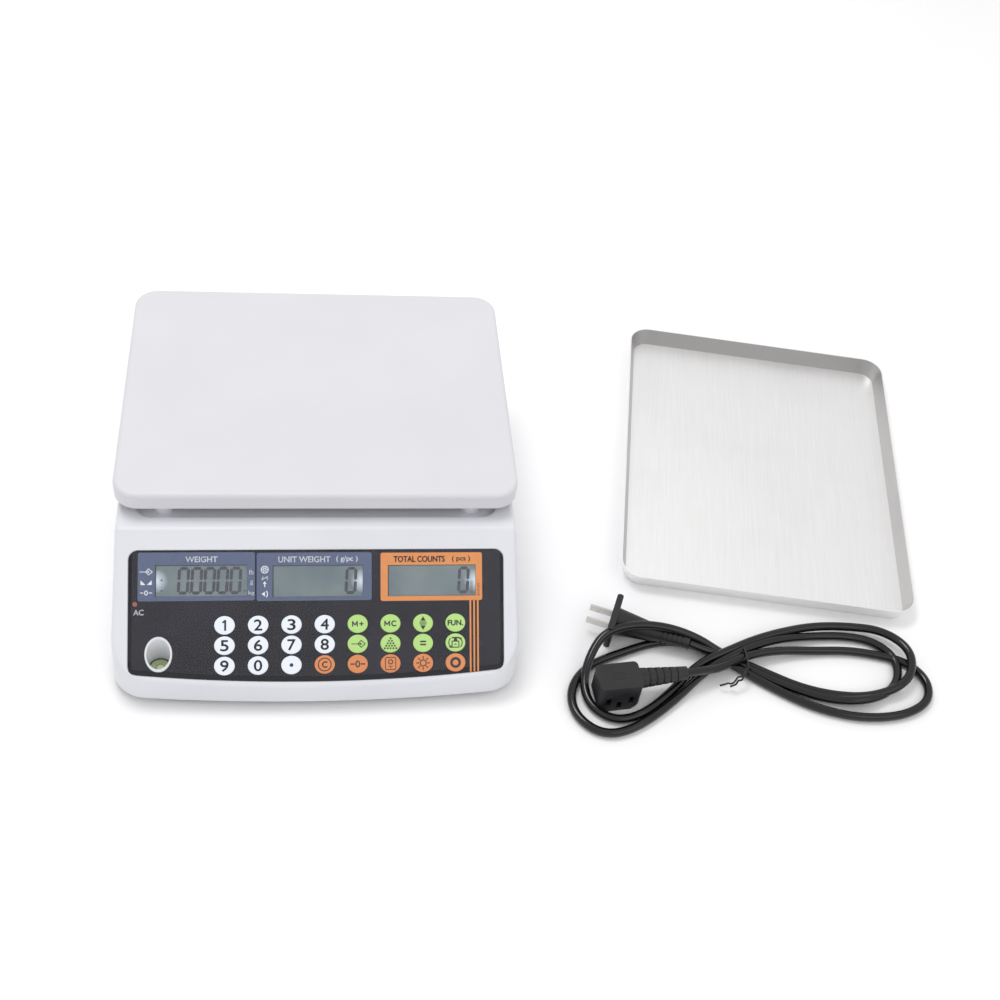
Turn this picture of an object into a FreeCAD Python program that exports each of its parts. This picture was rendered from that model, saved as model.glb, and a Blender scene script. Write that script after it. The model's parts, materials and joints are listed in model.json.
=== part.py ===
import FreeCAD, Part
import math
import os
import Sketcher

os.makedirs("parts", exist_ok=True)
doc = FreeCAD.newDocument("counting_scale")
V = FreeCAD.Vector

# ---------------------------------------------------------------- driving dimensions (mm, degrees)
# Frame: the origin is on the table, in the middle of the box round the scale and its steel pan.
# +X is the reader's right, +Y is away from the reader and +Z is up. Across and back positions below
# are counted from the middle of the platter, which stands at scale_x, scale_y, and "panel" sizes
# run down the slope from the deck's front edge.
DIMENSIONS = {
    "scale_x": -191.1, "scale_y": 13.52,
    # platter
    "platter_width": 294, "platter_depth": 228, "platter_rim": 13.5, "platter_top": 115,
    "platter_corner": 18, "platter_wall": 3, "platter_edge_round": 3.5,
    # housing
    "housing_base_width": 297, "housing_back": 114,
    "housing_bottom": 6, "deck_edge": 126.5, "deck_height": 94, "panel_angle": 38.8,
    "panel_length": 117, "front_bow": 8, "draft": 2.13, "wall": 3, "front_corner": 26, "back_corner": 14,
    "edge_round": 4, "recess_depth": 3, "recess_width": 264, "recess_front": 116,
    "recess_back": 104, "recess_corner": 12, "post_opening": 46,
    # base
    "base_bottom": 11.5, "base_plate": 3, "base_wall_top": 24, "base_gap": 0.2,
    # panel layout
    "overlay_half": 135, "overlay_start": 15.6, "overlay_end": 103.7, "overlay_bow": 7,
    "overlay_thickness": 0.5, "overlay_sink": 0.8, "overlay_corner": 7,
    "key_width": 14.6, "key_height": 13.3, "key_thick": 1.0, "key_pitch_across": 23.8,
    "key_pitch_down": 14.55, "key_first_x": 67.4, "key_first_down": 69.6, "key_gap": 0.15,
    "key_travel": 0.35, "key_proud": 0.25,
    "well_x": 113.7, "well_down": 89.8, "well_radius": 9.65, "well_bore": 8.3,
    "lamp_x": 130.3, "lamp_down": 53.9, "lamp_radius": 1.6,
    # load path
    "cell_length": 130, "cell_width": 30, "cell_height": 22, "cell_bottom": 30,
    "spider_bottom": 97, "spider_thick": 6, "spider_reach_x": 108, "spider_reach_y": 70,
    "cushion_radius": 9, "stop_radius": 7, "stop_x": 112, "stop_front": 104, "stop_back": 92,
    # feet
    "foot_x": 118, "foot_back": 84, "foot_front": 176, "pad_radius": 13, "pad_height": 4,
    "knob_radius": 11.5, "knob_height": 4, "stem_radius": 3, "stem_length": 17,
    # battery, mains parts
    "battery_long": 101, "battery_deep": 47, "battery_tall": 68,
    "inlet_x": 84, "inlet_height": 40, "inlet_width": 27, "inlet_tall": 20, "inlet_deep": 24,
    "flange_screw": 1.4,
    # steel pan
    "pan_width": 241, "pan_depth": 307, "pan_height": 15, "pan_sheet": 0.9, "pan_flare": 5,
    "pan_corner": 18, "pan_x": 387, "pan_y": 20.5, "pan_turn": -10.5,
    # mains lead
    "lead_diameter": 6.8, "tie_x": 326, "tie_y": -190, "lobe_right": 148, "lobe_left": 140,
    "lobe_half": 46, "strand_band": 14.5, "hank_height": 14.5,
    "connector_x": 221, "connector_y": -215.5, "connector_turn": 6, "connector_width": 33,
    "connector_height": 29, "connector_depth": 23, "connector_chamfer": 9, "relief_length": 40,
    "plug_x": 228.5, "plug_y": -152, "plug_height": 12, "plug_turn": -22, "plug_width": 36,
}

sheet = doc.addObject("Spreadsheet::Sheet", "Sizes")
for row, (alias, number) in enumerate(DIMENSIONS.items(), start=1):
    sheet.set("A%d" % row, alias)
    sheet.set("B%d" % row, str(number))
    sheet.setAlias("B%d" % row, alias)
doc.recompute()


def size(alias):
    """The sheet's value of one driving dimension."""
    return float(sheet.get(alias))


def bound(text):
    """An expression in which each word that is an alias reads the sheet."""
    out = text
    for alias in sorted(DIMENSIONS, key=len, reverse=True):
        out = out.replace("@" + alias, "Sizes." + alias)
    return out


def bind(obj, **expressions):
    """Bind an object's size properties to the sheet."""
    for name, text in expressions.items():
        obj.setExpression(name, bound(str(text)))
    return obj


# ---------------------------------------------------------------- frames
MIDDLE = V(size("scale_x"), size("scale_y"), 0)
SLOPE = math.radians(size("panel_angle"))
TILTED = FreeCAD.Rotation(V(1, 0, 0), size("panel_angle"))
INWARD = V(0, math.sin(SLOPE), -math.cos(SLOPE))


def panel_point(across, down, out=0.0):
    """A point of the sloping panel: across from the middle, down from the deck edge, out of it."""
    back = -size("deck_edge") - down * math.cos(SLOPE) - out * math.sin(SLOPE)
    return MIDDLE + V(across, back, size("deck_height") - down * math.sin(SLOPE) + out * math.cos(SLOPE))


def on_panel(across, down, out=0.0):
    """Local X runs right, local Y up the slope and local Z out of the panel."""
    return FreeCAD.Placement(panel_point(across, down, out), TILTED)


def level(x, y, z, turn=0.0):
    """A place counted from the middle of the platter, only turned about the vertical."""
    return FreeCAD.Placement(MIDDLE + V(x, y, z), FreeCAD.Rotation(V(0, 0, 1), turn))


def facing(x, y, z, axis, turn):
    """A place counted from the middle of the platter, turned about one axis."""
    return FreeCAD.Placement(MIDDLE + V(x, y, z), FreeCAD.Rotation(axis, turn))


def shift(x, y, z, turn=0.0):
    """A move within a placement's own axes."""
    return FreeCAD.Placement(V(x, y, z), FreeCAD.Rotation(V(0, 0, 1), turn))


# ---------------------------------------------------------------- primitive helpers
nodes = {}


def keep(obj, label):
    """Name a finished sub-part; its label is its file's name."""
    obj.Label = label
    nodes[label] = obj
    return obj


def box(name, length, width, height, place):
    """A box, in the middle of its placement across X and Y."""
    obj = bind(doc.addObject("Part::Box", name), Length=length, Width=width, Height=height)
    doc.recompute()
    half = V(obj.Length.Value / 2, obj.Width.Value / 2, 0)
    obj.Placement = place.multiply(shift(-half.x, -half.y, 0))
    return obj


def rod(name, radius, height, place):
    """A cylinder along its placement's Z."""
    obj = bind(doc.addObject("Part::Cylinder", name), Radius=radius, Height=height)
    obj.Placement = place
    return obj


def cone(name, radius_low, radius_high, height, place):
    """A cone frustum along its placement's Z."""
    obj = doc.addObject("Part::Cone", name)
    bind(obj, Radius1=radius_low, Radius2=radius_high, Height=height)
    obj.Placement = place
    return obj


def oval(name, width, tall, height, place):
    """An elliptical plate: its long axis lies along the placement's X."""
    rim = bind(doc.addObject("Part::Ellipse", name + "_rim"), MajorRadius=width, MinorRadius=tall)
    rim.Placement = place
    obj = doc.addObject("Part::Extrusion", name)
    obj.Base = rim
    obj.DirMode = "Custom"
    obj.Dir = place.Rotation.multVec(V(0, 0, 1))
    obj.Solid = True
    return bind(obj, LengthFwd=height)


def cut(name, base, *tools):
    """The base without the tools."""
    for index, tool in enumerate(tools):
        step = doc.addObject("Part::Cut", "%s_%d" % (name, index) if tool is not tools[-1] else name)
        step.Base = base
        step.Tool = tool
        base = step
    return base


def fuse(name, *shapes):
    """One object of several shapes."""
    obj = doc.addObject("Part::MultiFuse", name)
    obj.Shapes = list(shapes)
    return obj


def group(name, shapes):
    """Separate solids kept in one node."""
    obj = doc.addObject("Part::Compound", name)
    obj.Links = list(shapes)
    return obj


def common(name, shapes):
    """What several shapes share."""
    obj = doc.addObject("Part::MultiCommon", name)
    obj.Shapes = list(shapes)
    return obj


# ---------------------------------------------------------------- sketched bodies
def sketch_on(body, role, name):
    """An empty sketch on one of the body's own origin planes."""
    sketch = body.newObject("Sketcher::SketchObject", name)
    plane = next(f for f in body.Origin.OriginFeatures if f.Role == role)
    sketch.AttachmentSupport = [(plane, "")]
    sketch.MapMode = "FlatFace"
    return sketch


def draw(sketch, corners, arc_after=None, radius=None):
    """A closed outline through the corners, given as pairs of expressions.

    The side after corner number arc_after is an arc of the given radius that bulges outward and
    turns counter-clockwise; the other sides are straight."""
    places = [V(evaluate(x), evaluate(y), 0) for x, y in corners]
    count = len(places)
    for index, here in enumerate(places):
        there = places[(index + 1) % count]
        if index == arc_after:
            reach = evaluate(radius)
            middle = (here + there) * 0.5
            chord = there - here
            side = V(-chord.y, chord.x, 0).normalize()
            centre = middle + side * math.sqrt(reach ** 2 - (chord.Length / 2) ** 2)
            start = math.atan2(here.y - centre.y, here.x - centre.x)
            end = math.atan2(there.y - centre.y, there.x - centre.x)
            if end < start:
                end += 2 * math.pi
            curve = Part.ArcOfCircle(Part.Circle(centre, V(0, 0, 1), reach), start, end)
            sketch.addGeometry(curve, False)
        else:
            sketch.addGeometry(Part.LineSegment(here, there), False)
    for index, (x, y) in enumerate(corners):
        sketch.addConstraint(Sketcher.Constraint("Coincident", index, 2, (index + 1) % count, 1))
        for axis, text in (("DistanceX", x), ("DistanceY", y)):
            number = sketch.addConstraint(Sketcher.Constraint(axis, index, 1, evaluate(text)))
            sketch.setExpression("Constraints[%d]" % number, bound(text))
    if arc_after is not None:
        number = sketch.addConstraint(Sketcher.Constraint("Radius", arc_after, evaluate(radius)))
        sketch.setExpression("Constraints[%d]" % number, bound(radius))


def evaluate(text):
    """The value of an expression now."""
    return float(sheet.evalExpression(bound(text).replace("Sizes.", "")))


def sketched(name, role, corners, length, arc_after=None, radius=None, both_ways=False, taper=None):
    """A body with one padded outline."""
    body = doc.addObject("PartDesign::Body", name)
    draw(sketch_on(body, role, name + "_outline"), corners, arc_after, radius)
    body.Placement = level(0, 0, 0)
    pad = body.newObject("PartDesign::Pad", name + "_pad")
    pad.Profile = body.Group[0]
    bind(pad, Length=length)
    if both_ways:
        pad.SideType = "Symmetric"
    if taper is not None:
        bind(pad, TaperAngle=taper)
    doc.recompute()
    return body


def rectangle(half_x, half_y):
    """Corners of a rectangle about the origin."""
    return [("-(%s)" % half_x, "-(%s)" % half_y), (half_x, "-(%s)" % half_y), (half_x, half_y),
            ("-(%s)" % half_x, half_y)]


def upright_edges(shape, test=None):
    """Names of the edges along Z, or of those whose middle passes the test."""
    names = []
    for index, edge in enumerate(shape.Edges, start=1):
        ends = [v.Point for v in edge.Vertexes]
        if len(ends) == 2 and abs((ends[1] - ends[0]).normalize().z) > 0.99:
            if test is None or test(edge.CenterOfMass):
                names.append("Edge%d" % index)
    return names


def round_edges(body, name, names, radius):
    """A fillet at the tip of a body."""
    tip = body.Tip
    fillet = body.newObject("PartDesign::Fillet", name)
    fillet.Base = (tip, names)
    bind(fillet, Radius=radius)
    doc.recompute()
    return fillet


def plate(name, half_x, half_y, corner, height):
    """A rounded rectangular plate about the origin."""
    body = sketched(name, "XY_Plane", rectangle(half_x, half_y), height)
    round_edges(body, name + "_corners", upright_edges(body.Shape), corner)
    return body


def soften(name, base, picks, radius):
    """A Part fillet on the edges that the test picks."""
    doc.recompute()
    obj = doc.addObject("Part::Fillet", name)
    obj.Base = base
    chosen = [i for i, e in enumerate(base.Shape.Edges, start=1) if picks(e)]
    obj.Edges = [(i, radius, radius) for i in chosen]
    doc.recompute()
    return obj


# ---------------------------------------------------------------- platter
def make_platter():
    """A moulded tray lying upside down: a rounded plate with a rim and a hollow underside."""
    body = plate("Platter", "@platter_width / 2", "@platter_depth / 2", "@platter_corner",
                 "@platter_rim")
    top = size("platter_rim")
    names = ["Edge%d" % i for i, e in enumerate(body.Shape.Edges, start=1)
             if abs(e.CenterOfMass.z - top) < 0.01]
    round_edges(body, "Platter_lip", names, "@platter_edge_round")
    body.Placement = level(0, 0, size("platter_top") - size("platter_rim"))
    hollow = plate("Platter_hollow", "@platter_width / 2 - @platter_wall",
                   "@platter_depth / 2 - @platter_wall", "@platter_corner - @platter_wall",
                   "@platter_rim - @platter_wall + 1")
    hollow.Placement = level(0, 0, size("platter_top") - size("platter_rim") - 1)
    return keep(cut("Platter_shell", body, hollow), "platter")


# ---------------------------------------------------------------- housing
def wedge(name, inset):
    """The housing's drafted solid form, pulled in by an inset: its plan, cut to its side outline."""
    inset = "(%s)" % inset
    wide = "(@housing_base_width / 2 - %s)" % inset
    front = "-(@deck_edge + @panel_length * cos(@panel_angle * 1 deg) - %s)" % inset
    back = "@housing_back - %s" % inset
    reach = "(%s * %s + @front_bow * @front_bow) / (2 * @front_bow)" % (wide, wide)
    corners = [("-" + wide, front + " + @front_bow"), (wide, front + " + @front_bow"),
               (wide, back), ("-" + wide, back)]
    plan = sketched(name + "_plan", "XY_Plane", corners, "@deck_height + 20", arc_after=0,
                    radius=reach, taper="-@draft")
    for place, sign in (("front", -1), ("back", 1)):
        names = upright_edges(plan.Shape, lambda c, s=sign: c.y * s > 0)
        round_edges(plan, "%s_%s_corners" % (name, place), names, "@%s_corner - %s" % (place, inset))
    past = 25
    far = "-(@deck_edge + @panel_length * cos(@panel_angle * 1 deg) + %g)" % past
    low = "@deck_height - @panel_length * sin(@panel_angle * 1 deg) - %g * tan(@panel_angle * 1 deg)" % past
    side = sketched(name + "_side", "YZ_Plane", [
        (far, "-5"), ("@housing_back + 10", "-5"), ("@housing_back + 10", "@deck_height - %s" % inset),
        ("-(@deck_edge) + %s * tan(@panel_angle / 2 * 1 deg)" % inset, "@deck_height - %s" % inset),
        (far, "%s - %s / cos(@panel_angle * 1 deg)" % (low, inset))], "400", both_ways=True)
    return common(name, [plan, side])


def make_upper_housing():
    """The top shell: open below, with a sunken deck, panel openings and the inlet's window."""
    outer = wedge("Housing_form", "0")
    doc.recompute()
    deck = size("deck_height")
    lowest = deck - size("panel_length") * math.sin(SLOPE) - 5

    def upper_edges(edge):
        middle = (edge.FirstParameter + edge.LastParameter) / 2
        return edge.CenterOfMass.z > lowest and abs(edge.tangentAt(middle).z) < 0.95

    rounded = soften("Housing_rounded", outer, upper_edges, size("edge_round"))
    inner = wedge("Housing_hollow", "@wall")
    below = box("Housing_below", "400", "500", "@housing_bottom + 10", level(0, -40, -10))
    recess = plate("Housing_recess", "@recess_width / 2", "(@recess_front + @recess_back) / 2",
                   "@recess_corner", "@recess_depth + 5")
    recess.Placement = level(0, (size("recess_back") - size("recess_front")) / 2,
                             deck - size("recess_depth"))
    pan = plate("Housing_recess_under", "@recess_width / 2 + @wall",
                "(@recess_front + @recess_back) / 2 + @wall", "@recess_corner + @wall", "@wall + 0.5")
    pan.Placement = level(0, (size("recess_back") - size("recess_front")) / 2,
                          deck - size("recess_depth") - size("wall"))
    post = box("Housing_post_opening", "@post_opening * 2", "@post_opening", "20", level(25, 0, deck - 12))
    overlay_bed = overlay_form("Overlay_bed", "@overlay_sink + 1", -size("overlay_sink"), 0.4)
    windows = [box("Window_hole_%d" % i, w + 5, h + 5, 12, on_panel(x, s, -9))
               for i, (x, s, w, h) in enumerate(WINDOWS)]
    board_bay = box("Keypad_bay", 188, 44, 12, on_panel(16, 83.6, -9))
    seat = box("Inlet_seat", 54, 28, 5.95,
               facing(size("inlet_x"), size("housing_back") - 0.05, size("inlet_height"), V(1, 0, 0), 90))
    well = rod("Well_hole", "@well_radius + 0.1", 60, well_place(10))
    lamp = rod("Lamp_hole", "@lamp_radius + 0.1", 12, on_panel(-size("lamp_x"), size("lamp_down"), -9))
    inlet = box("Inlet_window", "@inlet_width + 0.4", 20, "@inlet_tall + 0.4",
                level(size("inlet_x"), size("housing_back"), size("inlet_height") - 0.2
                      - size("inlet_tall") / 2))
    taps = [rod("Inlet_tap_%d" % i, "@flange_screw + 0.1", 14,
                facing(size("inlet_x") + px, size("housing_back") + 4, size("inlet_height"), V(1, 0, 0), 90))
            for i, px in enumerate((-20, 20))]
    shell = cut("Housing_shell", rounded, inner)
    joined = fuse("Housing_with_floor", shell, pan, seat)
    stops = [rod("Stop_%d" % i, "@stop_radius", 8.6, level(x, y, deck - size("recess_depth") - 0.5))
             for i, (x, y) in enumerate(stop_places())]
    cleared = cut("Housing_cleared", joined, recess, post, below, overlay_bed, *windows, board_bay,
                  well, lamp, inlet, *taps)
    return keep(fuse("Upper_housing", cleared, *stops), "upper_housing")


def stop_places():
    """The four overload stops on the sunken deck."""
    across = size("stop_x")
    return [(sx * across, y) for y in (-size("stop_front"), size("stop_back")) for sx in (-1, 1)]


def well_place(base_height):
    """The level well stands upright, where its mouth meets the panel."""
    mouth = panel_point(-size("well_x"), size("well_down"))
    return level(mouth.x - MIDDLE.x, mouth.y - MIDDLE.y, base_height)


# ---------------------------------------------------------------- panel
# Three display windows: across, down, width and height of each.
WINDOWS = [(-83.85, 37.5, 64.9, 22.5), (-0.9, 38.2, 65.0, 22.8), (82.1, 38.4, 64.6, 22.7)]
KEY_ROWS = [
    ["1", "2", "3", "4", "memory_add", "memory_clear", "select", "function"],
    ["5", "6", "7", "8", "tare", "sample", "equals", "check_weight"],
    ["9", "0", "point", "clear", "zero", "print", "backlight", "power"],
]


def key_places():
    """Name, across and down of each key."""
    for row, names in enumerate(KEY_ROWS):
        for column, name in enumerate(names):
            across = -size("key_first_x") + column * size("key_pitch_across")
            yield name, across, size("key_first_down") + row * size("key_pitch_down")


def overlay_form(name, thickness, out, grow):
    """The overlay's outline: straight at the top and sides, bowed at the bottom."""
    half = "(@overlay_half + %s)" % grow
    upper = "-(@overlay_start - %s)" % grow
    lower = "-(@overlay_end + %s)" % grow
    reach = "(%s * %s + @overlay_bow * @overlay_bow) / (2 * @overlay_bow)" % (half, half)
    body = sketched(name, "XY_Plane", [("-" + half, lower), (half, lower), (half, upper),
                                       ("-" + half, upper)], thickness, arc_after=0, radius=reach)
    round_edges(body, name + "_corners", upright_edges(body.Shape), "@overlay_corner")
    body.Placement = on_panel(0, 0, out)
    return body


def make_panel():
    """Overlay film with its key and window openings, clear windows, keys and charge lamp."""
    sink = size("overlay_sink")
    form = overlay_form("Overlay_film", "@overlay_thickness", -sink, 0)
    holes = [oval("Key_hole_" + name, "@key_width / 2 + @key_gap", "@key_height / 2 + @key_gap", 3,
                  on_panel(x, s, -2)) for name, x, s in key_places()]
    openings = [box("Window_cut_%d" % i, w, h, 3, on_panel(x, s, -2))
                for i, (x, s, w, h) in enumerate(WINDOWS)]
    well = rod("Overlay_well_cut", "@well_radius + 0.1", 60, well_place(10))
    lamp = rod("Overlay_lamp_cut", "@lamp_radius + 0.1", 3, on_panel(-size("lamp_x"), size("lamp_down"), -2))
    tools = group("Overlay_cuts", holes + openings + [well, lamp])
    keep(cut("Keypad_overlay", form, tools), "keypad_overlay")
    panes = [box("Pane_%d" % i, w - 0.1, h - 0.1, "@overlay_thickness", on_panel(x, s, -sink))
             for i, (x, s, w, h) in enumerate(WINDOWS)]
    keep(group("Display_windows", panes), "display_windows")
    for name, x, s in key_places():
        keep(oval("Key_" + name, "@key_width / 2", "@key_height / 2", "@key_thick",
                  on_panel(x, s, size("key_proud") - size("key_thick"))), "key_" + name)
    keep(rod("Charge_lamp", "@lamp_radius", 8, on_panel(-size("lamp_x"), size("lamp_down"), -8.2)),
         "charge_lamp")


def make_displays():
    """Three reflective displays in their frames on one board, and the keypad board with its domes."""
    glasses = [box("Display_%d" % i, w + 4, h + 4, 2.8, on_panel(x, s, -3.7))
               for i, (x, s, w, h) in enumerate(WINDOWS)]
    keep(group("Displays", glasses), "displays")
    lights = [box("Backlight_%d" % i, w + 4, h + 4, 3.2, on_panel(x, s, -7.0))
              for i, (x, s, w, h) in enumerate(WINDOWS)]
    board = box("Display_board_sheet", 264, 36, 1.6, on_panel(-4, 39, -8.7))
    lamp = rod("Display_board_lamp", "@lamp_radius + 0.2", 8, on_panel(-size("lamp_x"), size("lamp_down"), -12))
    keep(group("Display_board", [cut("Display_board_card", board, lamp)] + lights), "display_board")
    low = size("key_proud") - size("key_thick") - size("key_travel")
    domes = [cone("Dome_" + name, 5, 3.2, 0.35, on_panel(x, s, low - 0.4)) for name, x, s in key_places()]
    card = box("Keypad_card", 187, 43, 1.4, on_panel(16, 83.6, low - 1.8))
    keep(group("Keypad_board", [card] + domes), "keypad_board")


def make_level():
    """The upright well through the panel, and the round bubble level at its foot."""
    foot = size("base_bottom") + size("base_plate")
    tube = rod("Well_tube", "@well_radius", 36, well_place(foot))
    bore = rod("Well_bore", "@well_bore", 46, well_place(foot - 1))
    over = box("Well_above", 60, 60, 60, on_panel(-size("well_x"), size("well_down"), 0.3))
    keep(cut("Level_well", tube, bore, over), "level_well")
    vial = rod("Vial_body", "@well_bore - 0.1", 7, well_place(foot))
    keep(vial, "bubble_level")


# ---------------------------------------------------------------- base and load path
def make_lower_base():
    """The bottom tray: plate, low wall, foot bosses with their bores, and the battery hatch."""
    form = wedge("Base_form", "@wall + @base_gap")
    band = box("Base_band", 400, 500, "@base_wall_top - @base_bottom", level(0, -40, size("base_bottom")))
    hollow = wedge("Base_hollow", "@wall * 2 + @base_gap")
    above = box("Base_above", 400, 500, 60, level(0, -40, size("base_bottom") + size("base_plate")))
    tray = cut("Base_tray", common("Base_block", [form, band]), common("Base_room", [hollow, above]))
    bosses = [rod("Foot_boss_%d" % i, 8, 18, level(x, y, size("base_bottom")))
              for i, (x, y) in enumerate(foot_places())]
    bores = [rod("Foot_bore_%d" % i, "@stem_radius + 0.05", 40, level(x, y, 0))
             for i, (x, y) in enumerate(foot_places())]
    hatch = box("Battery_hatch", "@battery_long + 6", "@battery_deep + 6", 20,
                level(BATTERY.x, BATTERY.y, 0))
    well = rod("Base_well_relief", "@well_radius + 0.3", 30,
               well_place(size("base_bottom") + size("base_plate")))
    keep(cut("Lower_base", fuse("Base_with_bosses", tray, *bosses), *bores, hatch, well), "lower_base")


def foot_places():
    """The four levelling feet: front left, front right, back left, back right."""
    x = size("foot_x")
    return [(-x, -size("foot_front")), (x, -size("foot_front")), (-x, size("foot_back")),
            (x, size("foot_back"))]


FOOT_NAMES = ["front_left", "front_right", "back_left", "back_right"]
BATTERY = V(-50, 72, 0)


def make_feet():
    """Each foot: a rubber pad that stays on the table, and a knob with its threaded stem."""
    for name, (x, y) in zip(FOOT_NAMES, foot_places()):
        pad = cone("Foot_pad_" + name, "@pad_radius", "@pad_radius - 1.5", "@pad_height", level(x, y, 0))
        keep(pad, "foot_pad_" + name)
        knob = rod("Foot_knob_" + name, "@knob_radius", "@knob_height - 0.5", level(x, y, size("pad_height")))
        notches = [rod("Foot_notch_%s_%d" % (name, i), 1.6, 6,
                       level(x + size("knob_radius") * math.cos(i * math.pi / 4),
                             y + size("knob_radius") * math.sin(i * math.pi / 4), 3)) for i in range(8)]
        stem = rod("Foot_stem_" + name, "@stem_radius", "@stem_length", level(x, y, size("pad_height")))
        wheel = cut("Foot_wheel_" + name, knob, group("Foot_notches_" + name, notches))
        keep(fuse("Foot_screw_" + name, wheel, stem), "foot_screw_" + name)


def make_load_path():
    """Base spacer, single-point load cell, upper post, spider and its four cushions."""
    plate_top = size("base_bottom") + size("base_plate")
    end = size("cell_length") / 2 - 17
    keep(box("Cell_spacer", 34, "@cell_width", size("cell_bottom") - plate_top, level(-end, 0, plate_top)),
         "cell_spacer")
    bar = box("Cell_bar", "@cell_length", "@cell_width", "@cell_height", level(0, 0, size("cell_bottom")))
    middle = size("cell_bottom") + size("cell_height") / 2
    eyes = [rod("Cell_eye_%d" % i, 6.5, 60, facing(x, 30, middle, V(1, 0, 0), 90))
            for i, x in enumerate((-13, 13))]
    neck = box("Cell_neck", 26, 60, 4, level(0, 0, middle - 2))
    keep(cut("Load_cell", bar, group("Cell_eyes", eyes), neck), "load_cell")
    cell_top = size("cell_bottom") + size("cell_height")
    keep(box("Upper_post", 34, "@cell_width", "@spider_bottom - %g" % cell_top, level(end, 0, cell_top)),
         "upper_post")
    hub = box("Spider_hub", 170, 56, "@spider_thick", level(0, 0, size("spider_bottom")))
    arms = []
    tips = [(sx, sy) for sx in (-1, 1) for sy in (-1, 1)]
    length = math.hypot(size("spider_reach_x") - 50, size("spider_reach_y") - 10)
    for index, (sx, sy) in enumerate(tips):
        turn = math.degrees(math.atan2(sy * (size("spider_reach_y") - 10), sx * (size("spider_reach_x") - 50)))
        spot = level(sx * 50, sy * 10, size("spider_bottom"), turn)
        arm = box("Spider_arm_%d" % index, length, 18, "@spider_thick",
                  spot.multiply(shift(length / 2, 0, 0)))
        tip = rod("Spider_tip_%d" % index, "@cushion_radius + 3", "@spider_thick",
                  level(sx * size("spider_reach_x"), sy * size("spider_reach_y"), size("spider_bottom")))
        arms += [arm, tip]
    keep(fuse("Platter_spider", hub, *arms), "platter_spider")
    top = size("spider_bottom") + size("spider_thick")
    tall = size("platter_top") - size("platter_wall") - top
    cushions = [rod("Cushion_%d" % i, "@cushion_radius", tall,
                    level(sx * size("spider_reach_x"), sy * size("spider_reach_y"), top))
                for i, (sx, sy) in enumerate(tips)]
    keep(group("Platter_cushions", cushions), "platter_cushions")


# ---------------------------------------------------------------- power
def make_power():
    """Battery and its lid, transformer, supply board and the mains inlet with its pins."""
    plate_top = size("base_bottom") + size("base_plate")
    keep(box("Battery", "@battery_long", "@battery_deep", "@battery_tall",
             level(BATTERY.x, BATTERY.y, plate_top)), "battery")
    keep(box("Battery_lid", "@battery_long + 5.4", "@battery_deep + 5.4", "@base_plate",
             level(BATTERY.x, BATTERY.y, size("base_bottom"))), "battery_lid")
    spot = V(52, 62, plate_top)
    core = box("Transformer_core", 16, 42, 36, level(spot.x, spot.y, spot.z + 2))
    feet = box("Transformer_feet", 16, 56, 2, level(spot.x, spot.y, spot.z))
    coil_hole = box("Transformer_window", 40, 22, 14, level(spot.x, spot.y, spot.z + 13))
    iron = cut("Transformer_iron", fuse("Transformer_frame", core, feet), coil_hole)
    coil = box("Transformer_coil", 34, 21.6, 13.6, level(spot.x, spot.y, spot.z + 13.2))
    keep(group("Transformer", [iron, coil]), "transformer")
    make_inlet()


# Across and up from the socket's middle.
PIN_PLACES = [(-7, -2), (7, -2), (0, 2)]


def make_inlet():
    """Rear appliance inlet: flanged socket, its three flat pins and two flange screws."""
    back, x, z = size("housing_back"), size("inlet_x"), size("inlet_height")

    def along(px, pz, out):
        return facing(x + px, back + out, z + pz, V(1, 0, 0), 90)

    flange = box("Inlet_flange", 50, 24, 3, along(0, 0, 3))
    sleeve = box("Inlet_sleeve", "@inlet_width", "@inlet_tall", "@inlet_deep", along(0, 0, 0.5))
    socket = box("Inlet_socket", "@inlet_width - 3", "@inlet_tall - 3.4", "17", along(0, 0, 3.5))
    eyes = group("Inlet_eyes", [rod("Inlet_eye_%d" % i, 1.7, 8, along(px, 0, 5))
                                for i, px in enumerate((-20, 20))])
    slots = group("Inlet_pin_slots", [box("Inlet_slot_%d" % i, 2.1, 4.1, 20, along(px, pz, -10))
                                      for i, (px, pz) in enumerate(PIN_PLACES)])
    keep(cut("Inlet_body", fuse("Inlet_outer", flange, sleeve), socket, slots, eyes), "mains_inlet")
    pins = [box("Inlet_pin_%d" % i, 2, 4, 30, along(px, pz, -0.5)) for i, (px, pz) in enumerate(PIN_PLACES)]
    keep(group("Inlet_pins", pins), "inlet_pins")


# ---------------------------------------------------------------- fasteners
def screw(name, place, head, shank, length):
    """A pan-head screw whose head lies on the placement's plane, shank along minus Z."""
    cap = rod(name + "_head", head, head * 0.6, place)
    down = place.multiply(shift(0, 0, -length))
    slot = box(name + "_slot", head * 1.5, head * 0.3, head, place.multiply(shift(0, 0, head * 0.35)))
    crossing = box(name + "_cross", head * 0.3, head * 1.5, head, place.multiply(shift(0, 0, head * 0.35)))
    topped = cut(name + "_cap", cap, slot, crossing)
    return fuse(name, topped, rod(name + "_shank", shank, length, down))


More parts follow.
